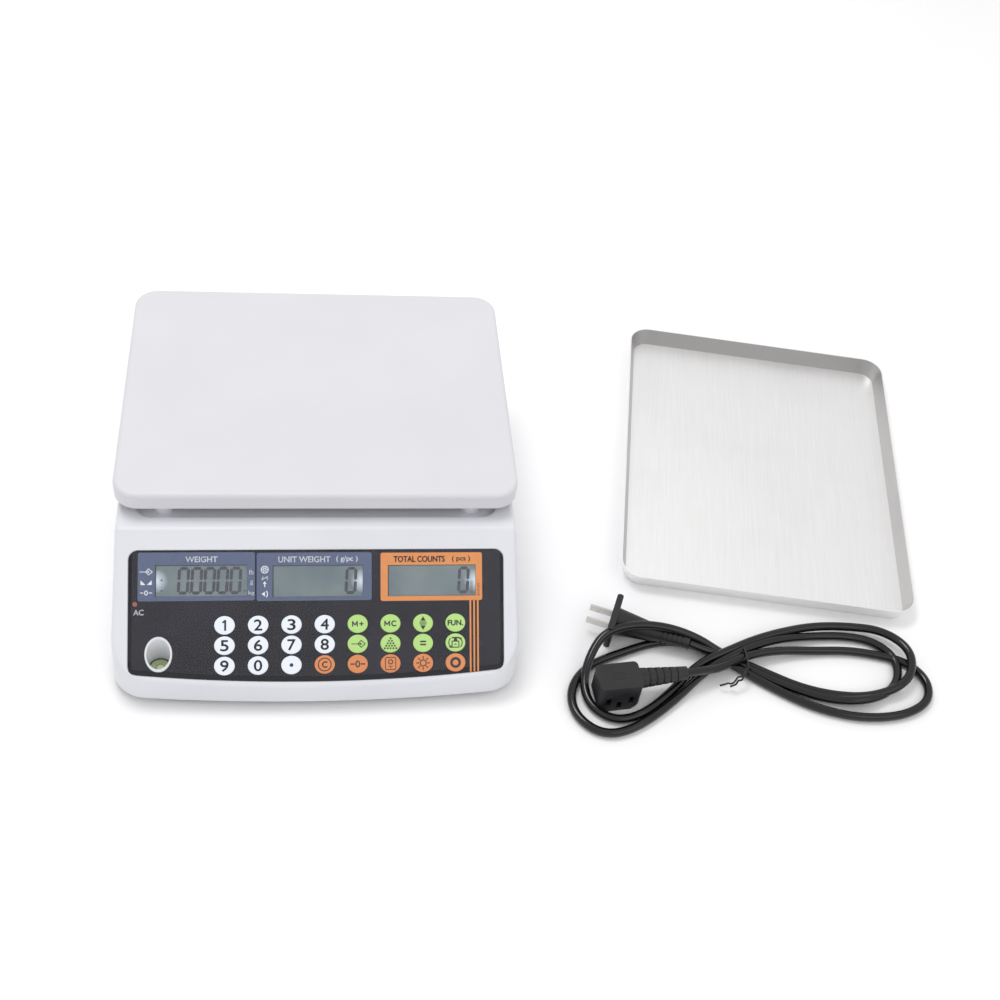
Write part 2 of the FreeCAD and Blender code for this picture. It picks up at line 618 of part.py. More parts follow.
def make_screws():
    """The screws of the spider, the inlet's flange and the base, in one group."""
    top = size("spider_bottom") + size("spider_thick")
    end = size("cell_length") / 2 - 17
    spots = [(end + dx, dy) for dx in (-9, 9) for dy in (-8, 8)]
    spider = [screw("Spider_screw_%d" % i, level(px, py, top), 5, 2.5, 4)
              for i, (px, py) in enumerate(spots)]
    back, x, z = size("housing_back"), size("inlet_x"), size("inlet_height")
    flange = [screw("Inlet_screw_%d" % i, facing(x + px, back + 3, z, V(1, 0, 0), -90), 2.9,
                    size("flange_screw"), 6)
              for i, px in enumerate((-20, 20))]
    places = [(-128, -120), (128, -120), (-128, 20), (128, 20)]
    base = [screw("Base_screw_%d" % i, facing(px, py, size("base_bottom"), V(1, 0, 0), 180), 3.4, 1.6, 3)
            for i, (px, py) in enumerate(places)]
    keep(group("Screws", spider + flange + base), "screws")


# ---------------------------------------------------------------- steel pan
def rounded_wire(width, depth, corner, z):
    """A rounded rectangle about the Z axis."""
    x, y = width / 2, depth / 2
    edges = []
    for turn, (cx, cy) in enumerate(((x, y), (-x, y), (-x, -y), (x, -y))):
        centre = V(cx - math.copysign(corner, cx), cy - math.copysign(corner, cy), z)
        circle = Part.Circle(centre, V(0, 0, 1), corner)
        edges.append(Part.ArcOfCircle(circle, turn * math.pi / 2, (turn + 1) * math.pi / 2))
    joined = []
    for here, there in zip(edges, edges[1:] + edges[:1]):
        joined += [here.toShape(), Part.LineSegment(here.EndPoint, there.StartPoint).toShape()]
    return Part.Wire(joined)


def make_pan():
    """A pressed tray of thin sheet, open side up, with walls that lean out."""
    def funnel(inset, low, high):
        rings = []
        for z in (low, high):
            grow = size("pan_flare") * (z / size("pan_height") - 1) - inset
            rings.append(rounded_wire(size("pan_width") + 2 * grow, size("pan_depth") + 2 * grow,
                                      size("pan_corner") + grow, z))
        return Part.makeLoft(rings, True, True)

    inner = funnel(size("pan_sheet"), size("pan_sheet"), size("pan_height") + 1)
    pan = doc.addObject("Part::Feature", "Steel_pan")
    pan.Shape = funnel(0, 0, size("pan_height")).cut(inner)
    pan.Placement = level(size("pan_x"), size("pan_y"), 0, size("pan_turn"))
    keep(pan, "steel_pan")


# ---------------------------------------------------------------- mains lead
def teardrop(reach, half, height):
    """A slab from a point at the origin out to a round end along X."""
    centre = reach - half
    lean = math.acos(half / centre)
    up = V(centre - half * math.cos(lean), half * math.sin(lean), 0)
    down = V(up.x, -up.y, 0)
    end = Part.Arc(up, V(reach, 0, 0), down).toShape()
    sides = [Part.LineSegment(V(), up).toShape(), end, Part.LineSegment(down, V()).toShape()]
    return Part.Face(Part.Wire(sides)).extrude(V(0, 0, height))


def lobe(tie, reach, turn):
    """One loop of the hank: a teardrop ring as wide and as tall as the strands that lie in it."""
    band, half, tall = size("strand_band"), size("lobe_half"), size("hank_height")
    gap = teardrop(reach - 3.2 * band, half - band, tall + 2)
    gap.translate(V(2.2 * band, 0, -1))
    ring = teardrop(reach, half, tall).cut(gap)
    ring.Placement = FreeCAD.Placement(tie, FreeCAD.Rotation(V(0, 0, 1), turn))
    return ring


def make_hank(connector_end, plug_end):
    """The lead's figure-eight hank with its two short tails, one closed solid, and the twist tie."""
    tie = level(size("tie_x"), size("tie_y"), 0, 4)
    tall = size("hank_height")
    middle = Part.makeBox(24, 22, tall, V(-12, -11, 0))
    middle.Placement = tie
    tails = [tail("connector tail", connector_end, [(288, -203.5, 12), (300, -197, 7.5)]),
             tail("plug tail", plug_end, [(296, -178.5, 11), (308, -185.5, 8)])]
    hank = doc.addObject("Part::Feature", "Lead_hank")
    lobes = [lobe(tie.Base, size("lobe_right"), -6), lobe(tie.Base, size("lobe_left"), 193)]
    joined = middle.multiFuse(lobes + tails)
    hank.Shape = joined.removeSplitter()
    keep(hank, "lead_hank")
    outer = box("Tie_outer", 3, 25, tall + 1.2, tie)
    inner = box("Tie_inner", 6, 22.2, tall + 0.1, tie.multiply(shift(0, 0, -0.05)))
    keep(cut("Twist_tie", outer, inner), "twist_tie")


def ribbed_relief(name, place, wide, narrow, length):
    """A tapered strain relief along the placement's X with grooves across it."""
    lying = place.multiply(FreeCAD.Placement(V(), FreeCAD.Rotation(V(0, 1, 0), 90)))
    body = cone(name + "_body", wide, narrow, length, lying)
    grooves = []
    for index in range(5):
        at = length * (0.2 + 0.14 * index)
        spot = lying.multiply(shift(0, 0, at))
        ring = cut("%s_groove_%d" % (name, index), rod("%s_ring_%d" % (name, index), wide + 2, 1.6, spot),
                   rod("%s_core_%d" % (name, index), wide - (wide - narrow) * at / length - 0.9, 1.6, spot))
        grooves.append(ring)
    return cut(name, body, group(name + "_grooves", grooves))


def make_connector():
    """The right-angle appliance connector at one end of the lead: face with three slots, side relief."""
    place = level(size("connector_x"), size("connector_y"), 0, size("connector_turn"))
    wide, tall, deep = size("connector_width"), size("connector_height"), size("connector_depth")
    block = plate("Connector_block", "@connector_width / 2", "@connector_depth / 2", "3.5",
                  "@connector_height")
    block.Placement = place
    edge = size("connector_chamfer")
    corners = [box("Connector_corner_%d" % i, "@connector_chamfer", "@connector_depth + 4", "@connector_chamfer",
                   place.multiply(FreeCAD.Placement(V(side * wide / 2, 0, 0),
                                                    FreeCAD.Rotation(V(0, 1, 0), 45))).multiply(
                       shift(0, 0, -edge / 2)))
               for i, side in enumerate((-1, 1))]
    slots = [box("Connector_slot_%d" % i, 4, 16, 7.2, place.multiply(shift(x, -deep / 2 + 7, z - 3.6)))
             for i, (x, z) in enumerate(((-8.8, 12.5), (8.8, 12.5), (0, 7.5)))]
    start = V(wide / 2 - 1, 3, tall * 0.62)
    relief = ribbed_relief("Connector_relief", place.multiply(FreeCAD.Placement(start, FreeCAD.Rotation())),
                           8, 5.2, size("relief_length"))
    head = cut("Connector_head", block, group("Connector_cuts", slots + corners))
    keep(fuse("Connector", head, relief), "appliance_connector")
    return place.multVec(start + V(size("relief_length"), 0, 0))


def make_plug():
    """The two-pin plug at the other end: flange, tapering body, relief and two flat blades."""
    place = level(size("plug_x"), size("plug_y"), size("plug_height"), size("plug_turn"))
    flange = plate("Plug_flange", "2.5", "@plug_width / 2", "2", "@plug_width * 0.66")
    flange.Placement = place.multiply(shift(0, 0, -size("plug_width") * 0.33))
    lying = place.multiply(FreeCAD.Placement(V(2, 0, 0), FreeCAD.Rotation(V(0, 1, 0), 90)))
    body = cone("Plug_body", 11, 7, 32, lying)
    relief = ribbed_relief("Plug_relief", place.multiply(shift(33, 0, 0)), 6.6, 4.6, 28)
    keep(fuse("Plug", flange, body, relief), "mains_plug")
    blades = [box("Plug_blade_%d" % i, 18, 1.5, 6.3, place.multiply(shift(-11.5, y, -3.15)))
              for i, y in enumerate((-6.35, 6.35))]
    keep(group("Plug_blades", blades), "plug_blades")
    return place.multVec(V(61, 0, 0))


def tail(name, start, points):
    """A tube of the lead: straight runs joined by tangent arcs."""
    route = [start] + [MIDDLE + V(*p) for p in points]
    radii = []
    edges = []
    here = route[0]
    for before, corner, after in zip(route, route[1:], route[2:]):
        one, two = (before - corner), (after - corner)
        turn = math.pi - one.getAngle(two)
        radius = 0.45 * min(one.Length, two.Length) / math.tan(turn / 2)
        radii.append(radius)
        back = radius * math.tan(turn / 2)
        first = corner + one.normalize() * back
        last = corner + two.normalize() * back
        bisector = (one + two).normalize()
        centre = corner + bisector * math.hypot(radius, back)
        middle = centre - bisector * radius
        edges += [Part.LineSegment(here, first).toShape(), Part.Arc(first, middle, last).toShape()]
        here = last
    edges.append(Part.LineSegment(here, route[-1]).toShape())
    path = Part.Wire(edges)
    section = Part.Wire(Part.Circle(route[0], route[1] - route[0], size("lead_diameter") / 2).toShape())
    tube = path.makePipeShell([section], True, False)
    expected = math.pi * (size("lead_diameter") / 2) ** 2 * path.Length
    print(name, "length", round(path.Length, 1), "radii", [round(r, 1) for r in radii],
          "volume ratio", round(tube.Volume / expected, 4))
    return tube


def make_lead():
    """Connector, plug, hank, tie and the two short tails that run into the hank."""
    make_hank(make_connector(), make_plug())


# ---------------------------------------------------------------- build, test and write
make_platter()
make_upper_housing()
make_panel()
make_displays()
make_level()
make_lower_base()
make_feet()
make_load_path()
make_power()
make_screws()
make_pan()
make_lead()
doc.recompute()

faults = [o.Name for o in doc.Objects if "Invalid" in o.State or "Error" in o.State]
faults += [label for label, o in nodes.items() if o.Shape.isNull() or not o.Shape.isValid()]
if faults:
    raise SystemExit("faulty objects: " + ", ".join(faults))
for label, obj in nodes.items():
    obj.Shape.exportStep("parts/%s.step" % label)
print(len(nodes), "sub-parts written")
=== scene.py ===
import json
import math
import bmesh
import bpy
from mathutils import Matrix, Vector, noise


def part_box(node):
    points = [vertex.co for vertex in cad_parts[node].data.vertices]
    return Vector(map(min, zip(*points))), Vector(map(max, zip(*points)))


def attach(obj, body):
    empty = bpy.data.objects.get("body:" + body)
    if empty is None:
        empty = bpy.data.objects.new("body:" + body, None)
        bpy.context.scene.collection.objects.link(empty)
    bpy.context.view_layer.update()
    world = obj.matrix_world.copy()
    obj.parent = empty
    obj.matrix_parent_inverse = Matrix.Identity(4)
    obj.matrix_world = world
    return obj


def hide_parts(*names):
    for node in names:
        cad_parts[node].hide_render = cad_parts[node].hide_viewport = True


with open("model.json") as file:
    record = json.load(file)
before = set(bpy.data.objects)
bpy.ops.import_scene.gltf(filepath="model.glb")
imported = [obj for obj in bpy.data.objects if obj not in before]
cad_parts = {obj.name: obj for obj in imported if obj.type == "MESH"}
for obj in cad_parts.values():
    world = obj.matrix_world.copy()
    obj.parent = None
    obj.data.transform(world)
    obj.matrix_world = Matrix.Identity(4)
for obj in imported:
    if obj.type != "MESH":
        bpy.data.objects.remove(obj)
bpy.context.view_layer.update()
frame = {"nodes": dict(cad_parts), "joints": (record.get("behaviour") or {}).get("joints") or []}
NODES = frame["nodes"]
MM = 0.001


# ---------------------------------------------------------------- places on the object
def extent(points, axis):
    """The least and the greatest of one coordinate of some points."""
    values = [p[axis] for p in points]
    return min(values), max(values)


PLATTER_LOW, PLATTER_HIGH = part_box("platter")
STAND = Vector(((PLATTER_LOW.x + PLATTER_HIGH.x) / 2, (PLATTER_LOW.y + PLATTER_HIGH.y) / 2, 0))


class Panel:
    """The sloping front panel: x runs right from its middle, down runs down the slope from the
    overlay's top edge, out is away from the overlay's face. All three are given in millimetres."""

    def __init__(self):
        press = next(j for j in frame["joints"] if j["name"] == "press_1")
        self.out = -Vector(press["axis"]).normalized()
        self.right = Vector((1, 0, 0))
        self.up = self.out.cross(self.right)
        points = [v.co for v in NODES["keypad_overlay"].data.vertices]
        first, last = extent(points, 0)
        top = max(p.dot(self.up) for p in points)
        face = max(p.dot(self.out) for p in points)
        self.origin = self.right * (first + last) / 2 + self.up * top + self.out * face

    def at(self, x, down, out=0.0):
        return self.origin + (self.right * x - self.up * down + self.out * out) * MM

    def frame_at(self, x, down, out=0.0):
        """A matrix whose local X, Y, Z run right, up the slope and out, in millimetres."""
        turn = Matrix((self.right, self.up, self.out)).transposed().to_4x4()
        return Matrix.Translation(self.at(x, down, out)) @ turn @ Matrix.Scale(MM, 4)

    def find(self, point):
        """The x, down and out of a point in the frame."""
        away = (point - self.origin) / MM
        return away.dot(self.right), -away.dot(self.up), away.dot(self.out)


panel = Panel()


# ---------------------------------------------------------------- camera
LENS = 49.32
CAMERA_FROM_STAND = Vector((-0.0055, -0.7807, 0.8575))


def make_camera():
    """Stands in front of the scale, a little left of the pair, looking down and to the right."""
    heading, dip, roll = (math.radians(angle) for angle in (11.67, 47.64, 8.69))
    ahead = Vector((math.sin(heading) * math.cos(dip), math.cos(heading) * math.cos(dip), -math.sin(dip)))
    level_right = Vector((math.cos(heading), -math.sin(heading), 0))
    level_up = level_right.cross(ahead)
    right = level_right * math.cos(roll) + level_up * math.sin(roll)
    up = level_up * math.cos(roll) - level_right * math.sin(roll)
    data = bpy.data.cameras.new("Camera")
    data.sensor_width = 36
    data.lens = LENS
    camera = bpy.data.objects.new("Camera", data)
    turn = Matrix((right, up, -ahead)).transposed().to_4x4()
    camera.matrix_world = Matrix.Translation(STAND + CAMERA_FROM_STAND) @ turn
    bpy.context.scene.collection.objects.link(camera)
    bpy.context.scene.camera = camera


make_camera()


# ---------------------------------------------------------------- colours and materials
def tone(red, green, blue):
    """A linear colour from display values of 0 to 255."""
    def linear(value):
        value /= 255
        return value / 12.92 if value <= 0.04045 else ((value + 0.055) / 1.055) ** 2.4
    return (linear(red), linear(green), linear(blue), 1.0)


class Finish:
    """A material built from layered noise: colour drift, roughness drift and surface relief."""

    def __init__(self, name, stretch=(1, 1, 1)):
        self.material = bpy.data.materials.new(name)
        self.material.use_nodes = True
        self.tree = self.material.node_tree
        self.shader = self.tree.nodes["Principled BSDF"]
        self.coords = self.tree.nodes.new("ShaderNodeTexCoord")
        self.mapping = self.tree.nodes.new("ShaderNodeMapping")
        self.mapping.inputs["Scale"].default_value = stretch
        self.link(self.coords.outputs["Object"], self.mapping.inputs["Vector"])
        self.relief = None

    def link(self, source, target):
        self.tree.links.new(source, target)

    def node(self, kind, **settings):
        made = self.tree.nodes.new(kind)
        for name, value in settings.items():
            setattr(made, name, value)
        return made

    def plain(self, **values):
        """Values that are the same all over, straight on the shader."""
        for name, value in values.items():
            self.shader.inputs[name.replace("_", " ").title().replace("Ior", "IOR")].default_value = value
        return self

    def noise(self, scale, detail=3.0, rough=0.55, vector=None):
        made = self.node("ShaderNodeTexNoise")
        made.inputs["Scale"].default_value = scale
        made.inputs["Detail"].default_value = detail
        made.inputs["Roughness"].default_value = rough
        self.link(vector or self.mapping.outputs["Vector"], made.inputs["Vector"])
        return made.outputs["Fac"]

    def spread(self, source, low, high, start=0.3, end=0.7):
        made = self.node("ShaderNodeMapRange")
        made.inputs["From Min"].default_value = start
        made.inputs["From Max"].default_value = end
        made.inputs["To Min"].default_value = low
        made.inputs["To Max"].default_value = high
        self.link(source, made.inputs["Value"])
        return made.outputs["Result"]

    def blend(self, factor, first, second):
        made = self.node("ShaderNodeMix", data_type="RGBA")
        for socket, value in ((made.inputs[6], first), (made.inputs[7], second)):
            if isinstance(value, tuple):
                socket.default_value = value
            else:
                self.link(value, socket)
        self.link(factor, made.inputs[0])
        return made.outputs[2]

    def colour(self, first, second, scale, start=0.35, end=0.65, detail=3.0):
        """Two close tones drifting into each other."""
        factor = self.spread(self.noise(scale, detail), 0, 1, start, end)
        self.link(self.blend(factor, first, second), self.shader.inputs["Base Color"])
        return self

    def roughness(self, low, high, scale, detail=2.0):
        self.link(self.spread(self.noise(scale, detail), low, high), self.shader.inputs["Roughness"])
        return self

    def bump(self, height, strength, depth):
        """Adds one layer of relief; depth is in metres."""
        made = self.node("ShaderNodeBump")
        made.inputs["Strength"].default_value = strength
        made.inputs["Distance"].default_value = depth
        self.link(height, made.inputs["Height"])
        if self.relief:
            self.link(self.relief, made.inputs["Normal"])
        self.relief = made.outputs["Normal"]
        self.link(self.relief, self.shader.inputs["Normal"])
        return self


def moulded(name, light, dark, rough, grain=2600, relief=0.00003, strength=0.25):
    """Injection-moulded plastic: fine spark-eroded grain, faint flow marks and a drifting sheen."""
    made = Finish(name)
    made.colour(tone(*light), tone(*dark), 9, detail=5)
    made.roughness(rough - 0.06, rough + 0.07, 60)
    made.bump(made.noise(grain, 2), strength, relief)
    made.bump(made.noise(45, 2), 0.12, 0.0002)
    return made.plain(specular_ior_level=0.45).material


def brushed(name, light, dark, rough, stretch, relief=0.00002):
    """Brushed metal: long fine scratches along one axis and slow smudges."""
    made = Finish(name, stretch)
    scratch = made.noise(900, 4, 0.7)
    made.link(made.blend(made.spread(scratch, 0, 1), light, dark), made.shader.inputs["Base Color"])
    smudge = made.noise(14, 3, vector=made.coords.outputs["Object"])
    made.link(made.spread(smudge, rough - 0.05, rough + 0.09), made.shader.inputs["Roughness"])
    made.bump(scratch, 0.3, relief)
    return made.plain(metallic=1.0).material


def printed(name, colour, drift=0.92, rough=0.35):
    """Screen-printed ink: nearly even, with a faint mottle and a soft edge to its gloss."""
    made = Finish(name)
    ink = tone(*colour)
    made.colour(ink, tuple(c * drift for c in ink[:3]) + (1.0,), 300)
    made.roughness(rough - 0.05, rough + 0.05, 500)
    made.bump(made.noise(3000, 1), 0.1, 0.00001)
    return made.material


HOUSING = moulded("housing_plastic_skin", (225, 226, 231), (219, 220, 226), 0.38)
PLATTER = moulded("platter_plastic_skin", (216, 216, 220), (212, 212, 217), 0.42, 3200)
BASE = moulded("base_plastic_skin", (196, 198, 203), (188, 190, 196), 0.5)
FOOT = moulded("foot_plastic_skin", (60, 61, 64), (48, 49, 52), 0.45)
BLACK = moulded("black_plastic_skin", (34, 34, 37), (25, 25, 28), 0.42, 1800, 0.00005, 0.4)
RUBBER = moulded("black_rubber_skin", (46, 46, 47), (36, 36, 37), 0.75, 1500, 0.00006, 0.5)
BATTERY_CASE = moulded("battery_case_skin", (70, 74, 80), (58, 62, 68), 0.5)
NICKEL = brushed("nickel_pins_skin", (0.72, 0.7, 0.66, 1), (0.6, 0.58, 0.55, 1), 0.25, (1, 0.1, 1))
ALUMINIUM = brushed("milled_aluminium", (0.72, 0.73, 0.74, 1), (0.6, 0.61, 0.62, 1), 0.35, (0.05, 1, 1))
CAST = moulded("cast_frame_skin", (150, 152, 156), (132, 134, 138), 0.45, 900, 0.0001, 0.5)
IRON = brushed("iron_core_plates", (0.25, 0.24, 0.23, 1), (0.12, 0.12, 0.12, 1), 0.5, (0.02, 1, 1), 0.0001)
ZINC = brushed("zinc_screws", (0.68, 0.69, 0.7, 1), (0.55, 0.56, 0.58, 1), 0.3, (1, 1, 0.2))


def overlay_film():
    """Dark printed polyester with a slow cloudiness, fine specks and a gloss."""
    made = Finish("overlay_film_skin")
    cloud = made.spread(made.noise(16, 4), 0, 1, 0.35, 0.7)
    base = made.blend(cloud, tone(17, 16, 25), tone(36, 34, 46))
    speck = made.spread(made.noise(1400, 1), 0, 1, 0.82, 0.85)
    made.link(made.blend(speck, base, tone(66, 65, 76)), made.shader.inputs["Base Color"])
    made.roughness(0.16, 0.3, 40)
    made.bump(made.noise(55, 2), 0.25, 0.0002)
    return made.plain(specular_ior_level=0.3, coat_weight=0.06, coat_roughness=0.08).material


def board_green():
    """Solder mask with copper tracks running under it."""
    made = Finish("circuit_board_skin")
    tracks = made.node("ShaderNodeTexBrick")
    tracks.inputs["Scale"].default_value = 260
    tracks.inputs["Color1"].default_value = tone(20, 82, 50)
    tracks.inputs["Color2"].default_value = tone(24, 92, 58)
    tracks.inputs["Mortar"].default_value = tone(60, 130, 80)
    made.link(made.mapping.outputs["Vector"], tracks.inputs["Vector"])
    made.link(tracks.outputs["Color"], made.shader.inputs["Base Color"])
    made.roughness(0.25, 0.4, 200)
    made.bump(tracks.outputs["Fac"], 0.2, 0.0001)
    return made.material


def clear(name, tint, alpha, rough):
    """Thin clear plastic: mostly see-through, with its own gloss, haze and slight ripples."""
    made = Finish(name)
    film = tone(*tint)
    made.colour(film, tuple(c * 0.9 for c in film[:3]) + (1.0,), 30)
    made.roughness(rough, rough + 0.08, 80)
    made.bump(made.noise(60, 2), 0.15, 0.0003)
    made.plain(alpha=alpha, specular_ior_level=0.6)
    return made.material


PAN_TURN = math.radians(-10.5)


def pan_steel():
    """Satin stainless sheet, brushed along the pan's length, with faint smudges. Its inner walls carry a
    painted dark reflection and shade in their colour, most of all the rear one."""
    made = Finish("brushed_steel_sheet")
    made.mapping.vector_type = "TEXTURE"
    made.mapping.inputs["Rotation"].default_value = (0, 0, PAN_TURN)
    made.mapping.inputs["Scale"].default_value = (0.5, 40, 0.5)
    scratch = made.noise(900, 3, 0.6)
    sheet = made.blend(made.spread(scratch, 0, 1), (0.93, 0.925, 0.925, 1), (0.86, 0.852, 0.85, 1))
    smudge = made.noise(11, 4, vector=made.coords.outputs["Object"])
    sheet = made.blend(made.spread(smudge, 0, 0.35, 0.5, 0.75), sheet, (0.8, 0.79, 0.785, 1))
    # Painted dark reflection and shade: the inner walls turn darker by their normal, the rear wall most.
    parts = made.node("ShaderNodeSeparateXYZ")
    made.link(made.node("ShaderNodeNewGeometry").outputs["Normal"], parts.inputs["Vector"])
    inner = made.node("ShaderNodeMath", operation="MULTIPLY")
    made.link(made.spread(parts.outputs["Z"], 1, 0, 0.5, 0.95), inner.inputs[0])
    made.link(made.spread(parts.outputs["Z"], 0, 1, -0.1, 0.1), inner.inputs[1])
    rear = made.node("ShaderNodeMath", operation="MULTIPLY")
    made.link(inner.outputs[0], rear.inputs[0])
    made.link(made.spread(parts.outputs["Y"], 1, 0.62, -0.8, -0.2), rear.inputs[1])
    sheet = made.blend(rear.outputs[0], sheet, (0.44, 0.43, 0.425, 1))
    made.link(sheet, made.shader.inputs["Base Color"])
    made.link(made.spread(smudge, 0.42, 0.54), made.shader.inputs["Roughness"])
    made.bump(scratch, 0.15, 0.00001)
    return made.plain(metallic=1.0).material


STEEL = pan_steel()
OVERLAY = overlay_film()
BOARD = board_green()
PANE = clear("clear_window_skin", (190, 200, 205), 0.06, 0.05)
VIAL = clear("level_glass_skin", (205, 225, 205), 0.35, 0.05)
LAMP = moulded("lamp_lens_skin", (168, 92, 84), (140, 74, 70), 0.2)
GLASS_EDGE = moulded("display_glass_edge", (70, 76, 76), (58, 64, 66), 0.25)
KEY_WHITE = moulded("key_white_skin", (240, 245, 252), (234, 240, 250), 0.32, 3000)
KEY_GREEN = moulded("key_green_skin", (188, 226, 134), (180, 220, 126), 0.32, 3000)
KEY_ORANGE = moulded("key_orange_skin", (226, 142, 84), (216, 132, 76), 0.32, 3000)
INK_DARK = printed("ink_dark", (34, 34, 42))
INK_WHITE = printed("ink_white", (232, 236, 242))
INK_SLATE = printed("ink_slate", (88, 100, 130), 0.9)
INK_ORANGE = printed("ink_orange", (226, 144, 78), 0.93)
INK_BROWN = printed("ink_brown", (48, 22, 26))
KEY_FINISHES = {"white": KEY_WHITE, "green": KEY_GREEN, "orange": KEY_ORANGE}


def skin(node, material):
    """Give a CAD node its finish."""
    target = NODES[node]
    if not target.material_slots:
        target.data.materials.append(material)
    for slot in target.material_slots:
        slot.material = material


KEYS = {
    "white": ["1", "2", "3", "4", "5", "6", "7", "8", "9", "0", "point"],
    "green": ["memory_add", "memory_clear", "select", "function", "tare", "sample", "equals",
              "check_weight"],
    "orange": ["clear", "zero", "print", "backlight", "power"],
}
CAD_FINISHES = {
    "platter": PLATTER, "upper_housing": HOUSING, "keypad_overlay": OVERLAY, "display_windows": PANE,
    "charge_lamp": LAMP, "displays": GLASS_EDGE, "display_board": BOARD, "keypad_board": BOARD,
    "level_well": HOUSING, "bubble_level": VIAL, "lower_base": BASE, "cell_spacer": ALUMINIUM,
    "load_cell": ALUMINIUM, "upper_post": ALUMINIUM, "platter_spider": CAST, "platter_cushions": RUBBER,
    "battery": BATTERY_CASE, "battery_lid": BASE, "transformer": IRON, "mains_inlet": BLACK,
    "inlet_pins": NICKEL, "screws": ZINC, "steel_pan": STEEL, "twist_tie": BLACK,
    "appliance_connector": BLACK, "mains_plug": BLACK, "plug_blades": NICKEL,
}
for corner in ("front_left", "front_right", "back_left", "back_right"):
    CAD_FINISHES["foot_pad_" + corner] = RUBBER
    CAD_FINISHES["foot_screw_" + corner] = FOOT
for paint, names in KEYS.items():
    for key in names:
        CAD_FINISHES["key_" + key] = KEY_FINISHES[paint]
for node_name, finish in CAD_FINISHES.items():
    skin(node_name, finish)


# ---------------------------------------------------------------- making pieces
def piece(name, verts, faces, material, body, smooth=True):
    """A mesh piece in frame coordinates that rides on a CAD body."""
    mesh = bpy.data.meshes.new(name)
    mesh.from_pydata([tuple(v) for v in verts], [], faces)
    mesh.validate()
    if smooth:
        mesh.shade_smooth()
    mesh.materials.append(material)
    made = bpy.data.objects.new(name, mesh)
    bpy.context.scene.collection.objects.link(made)
    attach(made, body)
    return made


def outward(target):
    """Turn every face of a closed mesh to look outwards."""
    work = bmesh.new()
    work.from_mesh(target.data)
    bmesh.ops.recalc_face_normals(work, faces=work.faces)
    work.to_mesh(target.data)
    work.free()
    return target


def faces_between_rings(rings, around):
    """The quads that join each ring of points to the next."""
    faces = []
    for ring in range(rings - 1):
        for step in range(around):
            a, b = ring * around + step, ring * around + (step + 1) % around
            faces.append((a, b, b + around, a + around))
    return faces


def faces_of_grid(columns, rows):
    """The quads of a grid of points that runs row by row."""
    wide = columns + 1
    corners = [row * wide + column for row in range(rows) for column in range(columns)]
    return [(a, a + wide, a + wide + 1, a + 1) for a in corners]


# ---------------------------------------------------------------- mains lead
TIE_LOW, TIE_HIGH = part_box("twist_tie")
TIE = (TIE_LOW + TIE_HIGH) / 2
TIE.z = 0
LEAD = 6.8 * MM
# Where the lead leaves the two reliefs and where the connector stands, in millimetres from the tie.
CONNECTOR_END = (-50.1, -16.7, 18)
PLUG_END = (-40.9, 15.1, 12)
CONNECTOR_SEAT = (-105.0, -25.5, 0)
CONNECTOR_TURN = 6.0


def lead_route():
    """Control points of the lead, in millimetres from the tie: connector, three loops to the right,
    two to the left between them, and the plug."""
    low, high = 3.4, 10.3
    right_high = [(35, 26, 10), (65, 33, 8), (96, 33, 7), (122, 27, 8.6), (138, 8, 10.4), (134, -14, 10.4),
                  (119, -28, 9.5), (94, -33, 5), (68, -30, 3.6), (42, -22, 3.5)]
    right_middle = [(32, 20, 9.5), (62, 26, 4), (92, 26, 3.6), (114, 20, 3.5), (127, 4, 3.6),
                    (124, -16, 3.5), (109, -31, 5), (86, -39, 9), (62, -34, 4.2), (40, -25, 3.6)]
    right_low = [(30, 10, 8), (60, 12, 3.6), (90, 12, 3.4), (114, 7, 3.4), (135, 0, 3.4), (147, -17, 3.4),
                 (143, -36, 3.4), (125, -47, 3.4), (102, -51, 3.4), (74, -49, 3.4), (44, -38, 3.4)]
    left_outer = [(-36, 21, 4), (-62, 24, 3.6), (-92, 14, 3.4), (-122, 2, 3.4), (-138, -18, 3.4),
                  (-138, -42, 3.4), (-120, -60, 3.4), (-96, -57, 3.4), (-64, -36, 3.4), (-30, -6, 7)]
    left_inner = [(-34, 19, 14), (-58, 25, 20.5), (-84, 27, 22), (-108, 22, 19), (-121, 5, 13),
                  (-128, -15, 5), (-125, -35, 3.6), (-109, -48, 3.5), (-89, -45, 3.5), (-66, -29, 3.5),
                  (-36, -1, 8)]
    route = [CONNECTOR_END, (-38, -13.4, 16), (-20, -8, 11), (2, 4, high)]
    route += right_low
    route += [(12, -16, low), (-6, 0, low)]
    route += left_outer
    route += [(-8, 4, high), (8, 12, high)]
    route += right_middle
    route += [(14, -11, low), (-4, 5, low), (-16, 12, low + 1)]
    route += left_inner
    route += [(-10, 9, high), (10, 18, high)]
    route += right_high
    route += [(18, -8, low), (-2, 4, low), (-18, 9, 5.5), (-30, 11.5, 9), PLUG_END]
    return [TIE + Vector(p) * MM for p in route]


def tube(points, radius, around=10):
    """The skin of a round wire along a line of points, as verts and faces."""
    verts = []
    side = None
    for index, point in enumerate(points):
        ahead = points[min(index + 1, len(points) - 1)] - points[max(index - 1, 0)]
        ahead.normalize()
        if side is None:
            side = ahead.orthogonal()
        side = (side - ahead * side.dot(ahead)).normalized()
        other = ahead.cross(side)
        for step in range(around):
            turn = 2 * math.pi * step / around
            verts.append(point + (side * math.cos(turn) + other * math.sin(turn)) * radius)
    faces = faces_between_rings(len(points), around)
    faces.append(tuple(reversed(range(around))))
    faces.append(tuple(range((len(points) - 1) * around, len(points) * around)))
    return verts, faces


